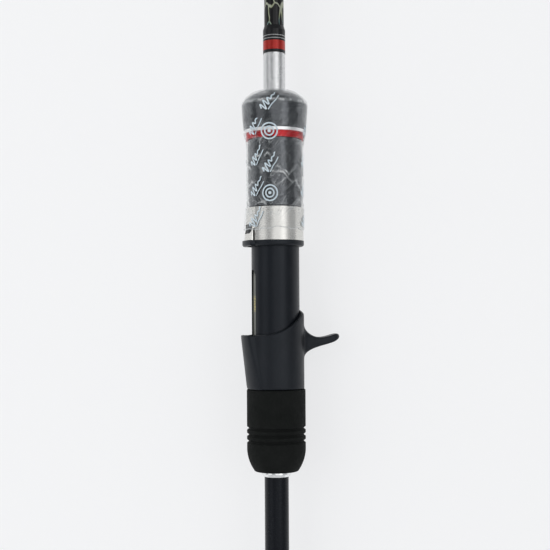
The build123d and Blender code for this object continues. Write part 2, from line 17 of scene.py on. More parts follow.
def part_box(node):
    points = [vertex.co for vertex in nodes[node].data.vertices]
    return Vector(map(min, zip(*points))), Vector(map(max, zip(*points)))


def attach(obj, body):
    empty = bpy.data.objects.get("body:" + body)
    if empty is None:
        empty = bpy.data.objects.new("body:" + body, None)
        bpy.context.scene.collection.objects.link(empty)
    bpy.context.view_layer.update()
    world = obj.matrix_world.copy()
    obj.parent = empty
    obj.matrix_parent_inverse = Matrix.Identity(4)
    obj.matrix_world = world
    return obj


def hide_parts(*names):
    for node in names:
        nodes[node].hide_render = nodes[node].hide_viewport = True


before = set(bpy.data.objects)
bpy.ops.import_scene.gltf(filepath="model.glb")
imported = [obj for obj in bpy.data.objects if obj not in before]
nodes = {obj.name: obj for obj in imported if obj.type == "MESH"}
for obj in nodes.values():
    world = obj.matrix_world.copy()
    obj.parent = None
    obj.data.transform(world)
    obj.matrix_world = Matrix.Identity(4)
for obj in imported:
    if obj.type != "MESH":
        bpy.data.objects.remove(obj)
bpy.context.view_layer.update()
MM = 0.001

# %% [markdown]
# ## Where the camera stands
# A rod handle shows best from the side, through a moderately long lens. The camera is level, a
# little over half a metre away, and it stands a few degrees towards the reel's side, so that the
# slot under the reel's foot shows. A vertical shift frames the handle without tilting the camera,
# which keeps the long straight tube upright in the picture.

# %% Camera
hood_low, hood_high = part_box("trigger_hood")
eye_distance = 0.571
eye_azimuth = math.radians(-16.0)
eye_height = hood_high.z - 2.9 * MM
toward_eye = Vector((math.sin(eye_azimuth), -math.cos(eye_azimuth), 0))

camera = bpy.data.objects.new("camera", bpy.data.cameras.new("camera"))
bpy.context.scene.collection.objects.link(camera)
camera.data.lens = 70.6
camera.data.sensor_width = 36.0
camera.data.shift_y = 0.0727
camera.data.shift_x = -0.0013
camera.data.dof.use_dof = False
hand_tilt = math.radians(-0.34)
turn = Matrix.Rotation(eye_azimuth, 4, "Z") @ Matrix.Rotation(math.radians(90), 4, "X")
camera.matrix_world = (
    Matrix.Translation(toward_eye * eye_distance + Vector((0, 0, eye_height)))
    @ turn
    @ Matrix.Rotation(hand_tilt, 4, "Z")
)
bpy.context.scene.camera = camera
print(f"camera at {tuple(round(v, 3) for v in camera.location)}")

# %% [markdown]
# ## Small helpers for node trees
# Every material here is a node tree. Wiring one by hand takes many lines, so `Tree.add` makes a
# node, sets its properties and fills its inputs in one call: an input given as a socket is
# linked, and any other value is written on the input itself.


# %% Node helpers
class Tree:
    """A short way to write a node tree."""

    def __init__(self, tree):
        self.tree = tree

    def put(self, value, socket):
        """Links an input to another node's output, or writes a plain value on it."""
        if isinstance(value, bpy.types.NodeSocket):
            self.tree.links.new(value, socket)
        else:
            socket.default_value = value

    def add(self, kind, inputs=None, **settings):
        node = self.tree.nodes.new(kind)
        for name, value in settings.items():
            setattr(node, name, value)
        for key, value in (inputs or {}).items():
            self.put(value, node.inputs[key])
        return node

    def math(self, operation, *values):
        node = self.add("ShaderNodeMath", operation=operation)
        for socket, value in zip(node.inputs, values):
            self.put(value, socket)
        return node.outputs[0]

    def vector(self, operation, first, second):
        """Vector arithmetic; with SCALE the second value is a number."""
        key = "Scale" if operation == "SCALE" else 1
        return self.add("ShaderNodeVectorMath", {0: first, key: second}, operation=operation).outputs[0]

    def ramp(self, value, *stops, ease="LINEAR"):
        """A colour ramp through (position, grey or colour) stops."""
        node = self.add("ShaderNodeValToRGB", {"Fac": value})
        node.color_ramp.interpolation = ease
        elements = node.color_ramp.elements
        while len(elements) < len(stops):
            elements.new(0.5)
        for element, (position, colour) in zip(elements, stops):
            element.position = position
            element.color = (*colour, 1) if isinstance(colour, tuple) else (colour, colour, colour, 1)
        return node.outputs["Color"]

    def mix(self, factor, first, second, blend="MIX"):
        """Mixes two colours; a colour is a socket or an (r, g, b) tuple."""
        node = self.add("ShaderNodeMix", data_type="RGBA", blend_type=blend)
        ends = ((node.inputs[0], factor), (node.inputs[6], first), (node.inputs[7], second))
        for socket, value in ends:
            self.put((*value, 1) if isinstance(value, tuple) else value, socket)
        return node.outputs[2]


def new_material(name, **constants):
    """A material with one Principled shader; constants are set on the shader's own sockets."""
    material = bpy.data.materials.new(name)
    material.use_nodes = True
    material.node_tree.nodes.clear()
    tree = Tree(material.node_tree)
    shader = tree.add("ShaderNodeBsdfPrincipled")
    for key, value in constants.items():
        shader.inputs[key.replace("_", " ")].default_value = value
    tree.add("ShaderNodeOutputMaterial", {"Surface": shader.outputs[0]})
    return material, tree, shader


def link(tree, output, shader, socket):
    tree.put(output, shader.inputs[socket])


def add_bump(tree, shader, height, distance, strength=1.0):
    bump = tree.add("ShaderNodeBump", {"Height": height, "Distance": distance, "Strength": strength})
    link(tree, bump.outputs[0], shader, "Normal")
    return bump


def place(tree, scale=(1, 1, 1)):
    """Object coordinates, stretched."""
    where = tree.add("ShaderNodeTexCoord")
    mapping = tree.add("ShaderNodeMapping", {"Vector": where.outputs["Object"], "Scale": scale})
    return mapping.outputs[0]


print("node helpers ready")

# %% [markdown]
# ## Effects that several finishes share
# Real surfaces are never even: moulded plastic has a fine spark-eroded grain, handled parts have
# faint smudges that change how sharply they reflect, wound thread has one ridge per turn, and
# shrunk film is creased. Each of these is one shader node group with named inputs, built once and
# used with each material's own values. A group only puts out values, so that the shader stays in
# the material.


# %% Shared node groups
def new_group(name, inputs, outputs):
    group = bpy.data.node_groups.new(name, "ShaderNodeTree")
    for socket, default in inputs.items():
        kind = "NodeSocketVector" if socket == "Vector" else "NodeSocketFloat"
        made = group.interface.new_socket(name=socket, in_out="INPUT", socket_type=kind)
        if default is not None:
            made.default_value = default
    for socket in outputs:
        group.interface.new_socket(name=socket, in_out="OUTPUT", socket_type="NodeSocketFloat")
    tree = Tree(group)
    return group, tree, tree.add("NodeGroupInput"), tree.add("NodeGroupOutput")


def make_grain_group():
    """Fine bumps of two sizes: Size is the larger one's, in metres."""
    group, tree, given, out = new_group("Fine grain", {"Vector": None, "Size": 0.0005}, ["Height"])
    scale = tree.math("DIVIDE", 1.0, given.outputs["Size"])
    finer = tree.math("MULTIPLY", scale, 2.7)
    where = given.outputs["Vector"]
    coarse = tree.add("ShaderNodeTexNoise", {"Vector": where, "Scale": scale, "Detail": 2.0})
    fine = tree.add("ShaderNodeTexVoronoi", {"Vector": where, "Scale": finer})
    height = tree.math("ADD", coarse.outputs[0], tree.math("MULTIPLY", fine.outputs["Distance"], 0.5))
    tree.put(height, out.inputs["Height"])
    return group


def make_smudge_group():
    """Cloudy patches between two values, as handling and cleaning leave them."""
    inputs = {"Vector": None, "Scale": 60.0, "Low": 0.3, "High": 0.5}
    group, tree, given, out = new_group("Handling marks", inputs, ["Value"])
    source = {"Vector": given.outputs["Vector"], "Scale": given.outputs["Scale"]}
    cloud = tree.add("ShaderNodeTexNoise", {**source, "Detail": 6.0, "Roughness": 0.65})
    spread = tree.add("ShaderNodeMapRange", {"Value": cloud.outputs[0], "From Min": 0.3, "From Max": 0.7})
    tree.put(given.outputs["Low"], spread.inputs["To Min"])
    tree.put(given.outputs["High"], spread.inputs["To Max"])
    tree.put(spread.outputs[0], out.inputs["Value"])
    return group


def make_thread_group():
    """One rounded ridge per turn of thread along Z: Pitch is the thread's thickness in metres."""
    group, tree, given, out = new_group("Wound thread", {"Vector": None, "Pitch": 0.0003}, ["Height"])
    parts = tree.add("ShaderNodeSeparateXYZ", {"Vector": given.outputs["Vector"]})
    turns = tree.math("DIVIDE", parts.outputs["Z"], given.outputs["Pitch"])
    ridge = tree.math("ABSOLUTE", tree.math("SINE", tree.math("MULTIPLY", turns, math.pi)))
    tree.put(tree.math("POWER", ridge, 0.6), out.inputs["Height"])
    return group


def make_crease_group():
    """Film wrinkles, 0 to 1: soft waves that are sharp along their crests, longer round the rod."""
    group, tree, given, out = new_group("Film creases", {"Vector": None, "Scale": 70.0}, ["Height"])
    lean = tree.add("ShaderNodeMapping", {"Vector": given.outputs["Vector"], "Rotation": (0.35, 0.25, 0.0)})
    squash = tree.add("ShaderNodeMapping", {"Vector": lean.outputs[0], "Scale": (0.8, 0.8, 2.0)})
    source = {"Vector": squash.outputs[0], "Scale": given.outputs["Scale"], "Detail": 2.5, "Roughness": 0.5}
    wave = tree.add("ShaderNodeTexNoise", source)
    away = tree.math("ABSOLUTE", tree.math("SUBTRACT", wave.outputs[0], 0.5))
    crest = tree.math("SUBTRACT", 1.0, tree.math("MINIMUM", tree.math("MULTIPLY", away, 6.0), 1.0))
    soft = tree.math("MULTIPLY", wave.outputs[0], 0.55)
    tree.put(tree.math("ADD", soft, tree.math("MULTIPLY", crest, 0.3)), out.inputs["Height"])
    return group


grain_group = make_grain_group()
smudge_group = make_smudge_group()
thread_group = make_thread_group()
crease_group = make_crease_group()


def use_group(tree, group, **inputs):
    return tree.add("ShaderNodeGroup", inputs, node_tree=group).outputs[0]


def smudges(tree, scale, low, high):
    """The handling marks on a piece: patches of this scale, between these two values."""
    return use_group(tree, smudge_group, Vector=place(tree), Scale=scale, Low=low, High=high)


def grains(tree, size):
    """The fine grain on a piece."""
    return use_group(tree, grain_group, Vector=place(tree), Size=size)


print("shared groups:", [group.name for group in bpy.data.node_groups])

# %% [markdown]
# ## The studio
# The rod hangs just in front of a white panel that is lit from behind as well, so that only a soft,
# pale shadow stays round it. The panel is seen only from its front: from behind it lets the view
# and the light through, so the rod can be looked at from every side. Tall soft lights stand behind
# the camera. Two of them are polarised: they light the panel and the colours but leave no
# highlight. The other three light nothing, and are what the shiny pieces mirror. So the brightness
# of the colours and the place of the highlights are each set by themselves.

# %% Floor, board, lights
daylight = (0.985, 0.99, 1.0, 1)


def make_stage_material(name, colour, glow, one_sided):
    """Matt paint that may glow. A one-sided board is clear from behind and casts no shadow."""
    material, tree, shader = new_material(name, Roughness=0.9, Emission_Strength=glow)
    shader.inputs["Base Color"].default_value = (*colour, 1)
    shader.inputs["Emission Color"].default_value = daylight
    if one_sided:
        output = tree.tree.nodes["Material Output"]
        facing = tree.add("ShaderNodeNewGeometry")
        path = tree.add("ShaderNodeLightPath")
        hidden = tree.math("MAXIMUM", facing.outputs["Backfacing"], path.outputs["Is Shadow Ray"])
        clear = tree.add("ShaderNodeBsdfTransparent")
        either = tree.add("ShaderNodeMixShader", {0: hidden, 1: shader.outputs[0], 2: clear.outputs[0]})
        tree.put(either.outputs[0], output.inputs["Surface"])
    return material


def make_plane(name, corners, material):
    mesh = bpy.data.meshes.new(name)
    mesh.from_pydata(corners, [], [(0, 1, 2, 3)])
    mesh.materials.append(material)
    plane = bpy.data.objects.new(name, mesh)
    bpy.context.scene.collection.objects.link(plane)
    return plane


board_gap = 19.0 * MM
across = Vector((math.cos(eye_azimuth), math.sin(eye_azimuth), 0))
board_foot = -toward_eye * board_gap
side = across * 2.0
up = Vector((0, 0, 2.6))
board_corners = [board_foot - side, board_foot + side, board_foot + side + up, board_foot - side + up]
make_plane("board", board_corners, make_stage_material("lit panel", (0.21, 0.212, 0.215), 0.715, True))

floor_half = 4.0
floor_corners = [(x * floor_half, y * floor_half, 0) for x, y in ((-1, -1), (1, -1), (1, 1), (-1, 1))]
make_plane("floor", floor_corners, make_stage_material("floor paint", (0.8, 0.805, 0.81), 0.0, False))

light_distance = 1.6
light_middle = 0.6
light_tall = 2.0


def add_light(name, azimuth, width, power, mirrored):
    """A tall soft light that faces the rod; azimuth is measured from the camera's own."""
    data = bpy.data.lights.new(name, "AREA")
    data.shape = "RECTANGLE"
    data.size = width
    data.size_y = light_tall
    data.energy = power
    lamp = bpy.data.objects.new(name, data)
    bpy.context.scene.collection.objects.link(lamp)
    angle = eye_azimuth + math.radians(azimuth)
    away = Vector((math.sin(angle), -math.cos(angle), 0))
    lamp.location = away * light_distance + Vector((0, 0, light_middle))
    lamp.rotation_mode = "QUATERNION"
    lamp.rotation_quaternion = away.to_track_quat("Z", "Y")
    lamp.visible_camera = False
    lamp.visible_glossy = mirrored
    lamp.visible_diffuse = not mirrored


add_light("left polarised light", -50, 1.4, 18.0, False)
add_light("right polarised light", 50, 1.4, 9.0, False)
add_light("left soft light", -52, 0.8, 3.0, True)
add_light("wide soft light", 19, 1.9, 9.0, True)
add_light("right strip light", 33, 0.36, 1.7, True)

world = bpy.data.worlds.new("pale room")
bpy.context.scene.world = world
world.use_nodes = True
room_light = world.node_tree.nodes["Background"]
room_light.inputs["Color"].default_value = (0.95, 0.97, 1.0, 1)
room_light.inputs["Strength"].default_value = 0.34
bpy.context.scene.view_settings.view_transform = "Standard"
print("stage: board, floor and", len(bpy.data.lights), "soft lights")

# %% [markdown]
# ## Turned pieces
# A rod handle is made on a lathe: every grip is a foam or plastic outline spun round the axis. In
# Blender the same thing is done by spinning a closed outline of (radius, height) points. Corners
# are given a small radius, because no real edge is sharp, and a round edge is what catches light.


# %% Lathe helper
def rounded(points, radius, steps=5):
    """Rounds the corners of a closed (radius, height) outline; radius may be a list, one per corner."""
    result = []
    count = len(points)
    most = 0.45  # of a side, so that two roundings never meet
    for i, point in enumerate(points):
        size = radius[i] if isinstance(radius, (list, tuple)) else radius
        here = Vector(point)
        before = Vector(points[i - 1]) - here
        after = Vector(points[(i + 1) % count]) - here
        size = min(size, most * before.length, most * after.length)
        if size <= 0:
            result.append(here)
            continue
        start = here + before.normalized() * size
        end = here + after.normalized() * size
        for step in range(steps + 1):
            t = step / steps
            result.append(start * (1 - t) ** 2 + here * 2 * t * (1 - t) + end * t**2)
    return [(p.x, p.y) for p in result]


def arc(start, end, bulge, steps=16):
    """Points from start to end on a curve that leaves the chord by bulge at its middle."""
    first, last = Vector(start), Vector(end)
    chord = last - first
    side = Vector((chord.y, -chord.x)).normalized()
    points = []
    for step in range(steps + 1):
        t = step / steps
        points.append(tuple(first + chord * t + side * bulge * 4 * t * (1 - t)))
    return points


def densify(points, longest):
    """Adds points so that no side of a closed outline is longer than longest."""
    result = []
    for i, point in enumerate(points):
        here, after = Vector(point), Vector(points[(i + 1) % len(points)])
        count = max(1, math.ceil((after - here).length / longest))
        result += [tuple(here.lerp(after, k / count)) for k in range(count)]
    return result


def new_piece(name, mesh, material, body, replaced=()):
    """Puts a finished mesh in the scene, on its body, in place of the CAD nodes it stands for."""
    piece = bpy.data.objects.new(name, mesh)
    bpy.context.scene.collection.objects.link(piece)
    mesh.materials.clear()
    mesh.materials.append(material)
    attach(piece, body)
    if replaced:
        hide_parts(*replaced)
    return piece


def spin(name, outline, around=96, shift=None):
    """Spins a closed outline about Z. shift(angle, radius, height) is added to a point's radius."""
    mesh = bpy.data.meshes.new(name)
    build = bmesh.new()
    rings = []
    for radius, height in outline:
        ring = []
        for k in range(around):
            angle = 2 * math.pi * k / around
            reach = radius + (shift(angle, radius, height) if shift else 0)
            ring.append(build.verts.new((reach * math.cos(angle), reach * math.sin(angle), height)))
        rings.append(ring)
    for i, ring in enumerate(rings):
        following = rings[(i + 1) % len(rings)]
        for k in range(around):
            m = (k + 1) % around
            build.faces.new((ring[k], ring[m], following[m], following[k]))
    bmesh.ops.recalc_face_normals(build, faces=build.faces)
    for face in build.faces:
        face.smooth = True
    build.to_mesh(mesh)
    build.free()
    return mesh


print("lathe ready")

# %% [markdown]
# ## Black foam grips
# EVA foam is cut on a lathe and left matt. Up close it is a mass of tiny closed cells, so it
# hardly shines at all, and its edges are soft. The rear grip has three V grooves for the fingers
# and a rounded lower end. The foregrip's two foam parts are the same foam, seen through film.


# %% Foam material
def make_foam():
    material, tree, shader = new_material("black foam", Specular_IOR_Level=0.12)
    colour = tree.mix(smudges(tree, 90.0, 0.0, 1.0), (0.0055, 0.0065, 0.006), (0.0085, 0.0095, 0.009))
    link(tree, colour, shader, "Base Color")
    link(tree, smudges(tree, 300.0, 0.72, 0.9), shader, "Roughness")
    add_bump(tree, shader, grains(tree, 0.45 * MM), 0.18 * MM)
    return material


foam = make_foam()
print("foam:", foam.name)

# %% [markdown]
# ### Rear grip and butt grip
# Both outlines start from their CAD boxes, so a longer grip only changes the CAD. The grooves are
# pressed into the spun mesh afterwards, by a function that says how far each point sinks: it could
# be part of the outline, but then each groove would need its own corners.


# %% Rear grip and butt grip
end_bulge = 0.9 * MM


def foam_profile(node, bore, low_radius, low_taper, high_radius, high_taper):
    """Outline of a straight foam grip whose ends narrow in a curve, from its CAD box."""
    low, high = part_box(node)
    straight = high.x
    outline = [(bore, low.z), (low_radius, low.z)]
    if low_taper:
        outline += arc((low_radius, low.z), (straight, low.z + low_taper), end_bulge)[1:]
    else:
        outline.append((straight, low.z))
    if high_taper:
        outline += arc((straight, high.z - high_taper), (high_radius, high.z), end_bulge)
    else:
        outline.append((straight, high.z))
    outline.append((bore, high.z))
    return outline


def press_grooves(centres, half, depth):
    """A shift that sinks V grooves with blunt bottoms into the outside of a grip."""
    outside = 14 * MM
    blunt = 1.25

    def shift(angle, radius, height):
        sunk = 0.0
        for centre in centres:
            sunk = max(sunk, 1 - abs(height - centre) / half)
        return -depth * min(1.0, sunk * blunt) ** 0.9 if radius > outside and sunk > 0 else 0.0

    return shift


bore_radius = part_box("handle_tube")[1].x + 0.05 * MM
grip_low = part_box("rear_grip")[0]
groove_first, groove_pitch = 16.0 * MM, 3.4 * MM
groove_centres = [grip_low.z + groove_first + k * groove_pitch for k in range(3)]
outline = foam_profile("rear_grip", bore_radius, 11.5 * MM, 11.5 * MM, 0, 0)
outer_corners = (1, len(outline) - 2)
corner_sizes = [0.6 * MM if i in outer_corners else 0 for i in range(len(outline))]
outline = densify(rounded(outline, corner_sizes), 0.22 * MM)
rear_mesh = spin("rear_grip_foam", outline, 128, press_grooves(groove_centres, 0.95 * MM, 1.0 * MM))
rear_grip = new_piece("rear_grip_foam", rear_mesh, foam, "rod", ["rear_grip"])

outline = foam_profile("butt_grip", bore_radius, 14.5 * MM, 0, 11.0 * MM, 14 * MM)
outline = densify(rounded(outline, 0.3 * MM, 3), 1.5 * MM)
butt_grip = new_piece("butt_grip_foam", spin("butt_grip_foam", outline, 96), foam, "rod", ["butt_grip"])
print(f"rear grip {len(rear_mesh.polygons)} faces, grooves at", [round(z, 4) for z in groove_centres])


# %% [markdown]
# ## Foregrip
# The foregrip is the lock nut's handle. Its front part flares out to a smooth shoulder, and a
# silver and a red ring part it from the straight rear part. Under the tight film the foam looks
# smoother and shinier than bare foam, so it gets its own finish, with the film's creases in it.


# %% Foregrip foam under film
cool_sheen = (0.87, 0.92, 1.0, 1)


def make_pressed_foam():
    material, tree, shader = new_material(
        "foam under film", Specular_IOR_Level=0.95, IOR=1.55, Coat_Weight=0.4, Specular_Tint=cool_sheen
    )
    colour = tree.mix(smudges(tree, 110.0, 0.0, 1.0), (0.003, 0.0035, 0.004), (0.007, 0.008, 0.0085))
    link(tree, colour, shader, "Base Color")
    link(tree, smudges(tree, 140.0, 0.13, 0.24), shader, "Roughness")
    wave = use_group(tree, crease_group, Vector=place(tree), Scale=70.0)
    add_bump(tree, shader, wave, 0.7 * MM)
    return material


pressed_foam = make_pressed_foam()
front_low, front_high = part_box("foregrip_front")
rear_low, rear_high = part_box("foregrip_rear")
ring_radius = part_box("trim_ring_silver")[1].x
flare_radius = front_high.x
grip_top = front_high.z
mouth_radius = 6.6 * MM
mouth_depth = 1.4 * MM
core_radius = 9.0 * MM

# From the flare's widest point over the shoulder to the mouth, as (radius, distance below the top).
shoulder_curve = [(flare_radius - 0.15 * MM, 8.3), (16.95 * MM, 6.7), (15.6 * MM, 4.6),
                  (13.4 * MM, 2.7), (10.6 * MM, 1.2), (8.2 * MM, 0.3)]
shoulder_curve = [(radius, grip_top - down * MM) for radius, down in shoulder_curve]
outline = [(core_radius, front_low.z), (ring_radius - 0.2 * MM, front_low.z)]
outline += arc((ring_radius, front_low.z + 0.4 * MM), shoulder_curve[0], 0.15 * MM) + shoulder_curve[1:]
mouth_floor = grip_top - mouth_depth
outline += [(mouth_radius, grip_top), (mouth_radius, mouth_floor), (core_radius, mouth_floor)]
front_mesh = spin("foregrip_front_foam", densify(outline, 0.6 * MM), 128)
foregrip_front = new_piece("foregrip_front_foam", front_mesh, pressed_foam, "nut", ["foregrip_front"])

nut_radius = 12.9 * MM
rear_radius = rear_high.x - 0.5 * MM
waist_height = rear_low.z + 11 * MM
outline = [(nut_radius, rear_low.z), (rear_radius - 0.45 * MM, rear_low.z), (rear_radius, waist_height),
           (rear_radius, rear_high.z), (nut_radius, rear_high.z)]
outline = densify(rounded(outline, [0, 0.4 * MM, 5 * MM, 0.3 * MM, 0]), 0.8 * MM)
rear_mesh = spin("foregrip_rear_foam", outline, 128)
foregrip_rear = new_piece("foregrip_rear_foam", rear_mesh, pressed_foam, "nut", ["foregrip_rear"])
print("foregrip flare", round(flare_radius * 1000, 2), "mm")

# %% [markdown]
# ## Satin and moulded black plastics
# The seat tube and the handle tube have a satin paint, and the trigger hood is moulded with a fine
# eroded grain. Both are nearly black, and what tells them apart is how they reflect: the paint
# gives a soft narrow stripe, the grain a broad dull one.


# %% Black finishes
def make_black(name, dark, light, rough, grain, bump, spec):
    material, tree, shader = new_material(name, Specular_IOR_Level=spec, Specular_Tint=cool_sheen)
    link(tree, tree.mix(smudges(tree, 45.0, 0.0, 1.0), dark, light), shader, "Base Color")
    link(tree, smudges(tree, 75.0, *rough), shader, "Roughness")
    add_bump(tree, shader, grains(tree, grain), bump)
    return material


seat_paint = make_black(
    "seat paint", (0.003, 0.0042, 0.0065), (0.005, 0.0064, 0.009),
    rough=(0.3, 0.4), grain=0.25 * MM, bump=0.01 * MM, spec=0.27,
)
tube_paint = make_black(
    "tube paint", (0.0015, 0.002, 0.0035), (0.003, 0.0037, 0.0055),
    rough=(0.24, 0.32), grain=0.3 * MM, bump=0.01 * MM, spec=0.21,
)
moulding = make_black(
    "grained moulding", (0.004, 0.0052, 0.0072), (0.0065, 0.008, 0.0105),
    rough=(0.34, 0.48), grain=0.35 * MM, bump=0.02 * MM, spec=0.29,
)
rubber = make_black(
    "butt rubber", (0.012, 0.012, 0.0125), (0.018, 0.018, 0.018),
    rough=(0.68, 0.85), grain=0.6 * MM, bump=0.08 * MM, spec=0.35,
)


def dress(material, *names):
    """Gives CAD nodes this material instead of their own."""
    for name in names:
        nodes[name].data.materials.clear()
        nodes[name].data.materials.append(material)


dress(seat_paint, "seat_tube")
dress(tube_paint, "handle_tube")
dress(rubber, "butt_cap")
dress(moulding, "hood_liner", "hood_retainer", "lock_nut", "front_bush")
print("black finishes:", seat_paint.name, tube_paint.name, moulding.name, rubber.name)

# %% [markdown]
# ## Trigger hood
# The fixed hood and its trigger are one moulding, and the trigger flows out of the barrel in
# soft fillets. The CAD solid has the right outside but meets itself in hard creases, so a copy of
# it is remeshed into small even faces, and each point is then moved towards the middle of its
# neighbours, as sanding a master pattern would do. A weight says how much each point moves: most
# at the trigger's root, a little elsewhere, and nothing in the bore, which has to fit the seat.


# %% Smooth moulding from a CAD node
def even_copy(node, voxel):
    """A CAD node's mesh, merged and remade from small even faces."""
    mesh = nodes[node].data.copy()
    build = bmesh.new()
    build.from_mesh(mesh)
    bmesh.ops.remove_doubles(build, verts=build.verts, dist=0.002 * MM)
    build.to_mesh(mesh)
    build.free()
    work = bpy.data.objects.new(node + "_work", mesh)
    bpy.context.scene.collection.objects.link(work)
    remesh = work.modifiers.new("even faces", "REMESH")
    remesh.mode = "VOXEL"
    remesh.voxel_size = voxel
    remesh.use_smooth_shade = True
    shaped = bpy.data.meshes.new_from_object(work.evaluated_get(bpy.context.evaluated_depsgraph_get()))
    bpy.data.objects.remove(work)
    return shaped


def relax(mesh, weigh, passes):
    """Moves each point towards its neighbours' middle; weigh gives every point's share of the way."""
    points = np.empty(len(mesh.vertices) * 3)
    mesh.vertices.foreach_get("co", points)
    points = points.reshape(-1, 3)
    ends = np.empty(len(mesh.edges) * 2, dtype=int)
    mesh.edges.foreach_get("vertices", ends)
    first, second = ends.reshape(-1, 2).T
    here, there = np.concatenate((first, second)), np.concatenate((second, first))
    count = np.bincount(here, minlength=len(points))
    weight = weigh(points)
    for _ in range(passes):
        for axis in range(3):
            total = np.bincount(here, weights=points[there, axis], minlength=len(points))
            points[:, axis] += weight * (total / count - points[:, axis])
    mesh.vertices.foreach_set("co", points.ravel())
    mesh.update()


root_x = hood_high.y
root_z = hood_low.z + 24.6 * MM


def weigh_hood(points):
    """Each point's share: most at the trigger's root, some at the lip, blade, back and tip."""
    x, y, z = points.T
    reach = np.hypot(x, y)
    outside = np.clip((reach - 13.0 * MM) / (0.5 * MM), 0, 1)
    near_root = np.clip(1.5 - np.hypot(x - root_x - 1 * MM, z - root_z) / (9 * MM), 0, 1)
    on_blade = np.clip((x - root_x) / (3 * MM), 0, 1) * 0.12
    on_rear = np.clip((hood_high.y - x) / (4 * MM), 0, 1) * 0.16
    near_lip = np.clip((z - hood_high.z + 5 * MM) / (3 * MM), 0, 1) * 0.3
    share = outside * np.maximum(np.maximum(near_root * 0.5, on_blade), on_rear)
    near_tip = np.clip((x - hood_high.x + 4 * MM) / (2 * MM), 0, 1) * 0.35
    return np.maximum(np.maximum(share, near_tip), near_lip * (reach > 12.9 * MM))


def slope_lip(mesh):
    """Cuts the hood's highest point on a slant, falling outward, so that it ends in a thin lip."""
    for vertex in mesh.vertices:
        near = min(1.0, max(0.0, (vertex.co.z - hood_high.z + 6 * MM) / (6 * MM)))
        outward = min(1.0, max(0.0, (vertex.co.xy.length - 12.9 * MM) / (2.3 * MM)))
        vertex.co.z -= 2.2 * MM * near * outward


trigger_mesh = even_copy("trigger_hood", 0.38 * MM)
slope_lip(trigger_mesh)
relax(trigger_mesh, weigh_hood, 60)
trigger_mesh.name = "trigger_hood_moulding"
trigger_hood = new_piece("trigger_hood_moulding", trigger_mesh, moulding, "rod", ["trigger_hood"])
print("trigger hood", len(trigger_mesh.polygons), "faces")


# %% [markdown]
# ## Brushed metal hood
# The moving hood's shell is thin stainless steel, rolled to shape and brushed round. Fine
# scratches in one direction spread a highlight across them, so the stripes of light run up and
# down the hood. The scratches are noise that is squeezed along the height and left long round the
# axis, and they change the roughness, a little of the colour and the surface's slope.


# %% Metals
def make_metal(name, dark, light, rough, streak, bump, metallic=1.0):
    """A metal whose fine marks are stretched by streak = scale along x, y, z."""
    material, tree, shader = new_material(name, Metallic=metallic)
    where = place(tree, streak)
    lines = tree.add("ShaderNodeTexNoise", {"Vector": where, "Scale": 1.0, "Detail": 5.0, "Roughness": 0.7})
    tone = tree.ramp(lines.outputs[0], (0.25, 0.0), (0.75, 1.0))
    link(tree, tree.mix(tone, dark, light), shader, "Base Color")
    fine = tree.math("MULTIPLY", lines.outputs[0], 0.12)
    link(tree, tree.math("ADD", smudges(tree, 70.0, *rough), fine), shader, "Roughness")
    add_bump(tree, shader, lines.outputs[0], bump)
    return material


brushed = make_metal(
    "brushed hood", (0.6, 0.59, 0.56), (0.8, 0.79, 0.76),
    rough=(0.18, 0.27), streak=(260, 260, 5200), bump=0.014 * MM, metallic=0.85,
)
silver_ring = make_metal(
    "silver ring", (0.86, 0.86, 0.87), (0.95, 0.95, 0.95),
    rough=(0.28, 0.4), streak=(300, 300, 4000), bump=0.006 * MM,
)
red_ring = make_metal(
    "red anodised", (0.42, 0.012, 0.016), (0.56, 0.03, 0.035),
    rough=(0.3, 0.42), streak=(300, 300, 4000), bump=0.01 * MM,
)
polished = make_metal(
    "polished check", (0.82, 0.83, 0.84), (0.93, 0.93, 0.93),
    rough=(0.05, 0.12), streak=(200, 200, 3500), bump=0.003 * MM,
)
gunmetal = make_metal(
    "guide frame", (0.1, 0.1, 0.11), (0.17, 0.17, 0.18),
    rough=(0.16, 0.26), streak=(900, 900, 900), bump=0.004 * MM,
)
dress(brushed, "hood_shell")
dress(silver_ring, "trim_ring_silver", "butt_trim_ring", "butt_check")
dress(red_ring, "trim_ring_red")
dress(polished, "rear_check")
print("metals dressed")


# %% [markdown]
# ### Slits, marks and a rolled texture
# Three metal pieces have a pattern of their own. The hood's shell is slit beside its foot tunnel,
# where the shade in the slit is painted on as a dark line. The sleeve is rolled with a fine diamond texture
# that scatters the light, and its valleys are painted darker as shade.
# The saddle plate carries a short column of small gold ticks, which stand for a printed size scale.


# %% Hood slits, sleeve texture, saddle marks
def band(tree, value, middle, half):
    """1 where value is within half of middle, with a short soft edge."""
    away = tree.math("ABSOLUTE", tree.math("SUBTRACT", value, middle))
    inside = tree.add("ShaderNodeMapRange", {"Value": away, "From Min": half, "From Max": half * 0.7})
    return inside.outputs[0]


def axes(tree):
    return tree.add("ShaderNodeSeparateXYZ", {"Vector": place(tree)}).outputs


def paint_over(material, mask, colour, roughness):
    """Lays a colour and a roughness over what a material already has, where mask is 1."""
    tree = Tree(material.node_tree)
    shader = next(node for node in material.node_tree.nodes if node.type == "BSDF_PRINCIPLED")
    below = shader.inputs["Base Color"].links[0].from_socket
    link(tree, tree.mix(mask, below, colour), shader, "Base Color")
    dull = shader.inputs["Roughness"].links[0].from_socket
    blend = tree.add("ShaderNodeMix", {0: mask, 2: dull, 3: roughness})
    link(tree, blend.outputs[0], shader, "Roughness")


shell_low, shell_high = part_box("hood_shell")
tree = Tree(brushed.node_tree)
x, y, z = axes(tree)
reach = tree.math("SQRT", tree.math("ADD", tree.math("MULTIPLY", x, x), tree.math("MULTIPLY", y, y)))
# Painted shade: a dark, rough line stands for the shadow down in the slit.
slit_shade = band(tree, tree.math("ABSOLUTE", y), 7.0 * MM, 0.09 * MM)
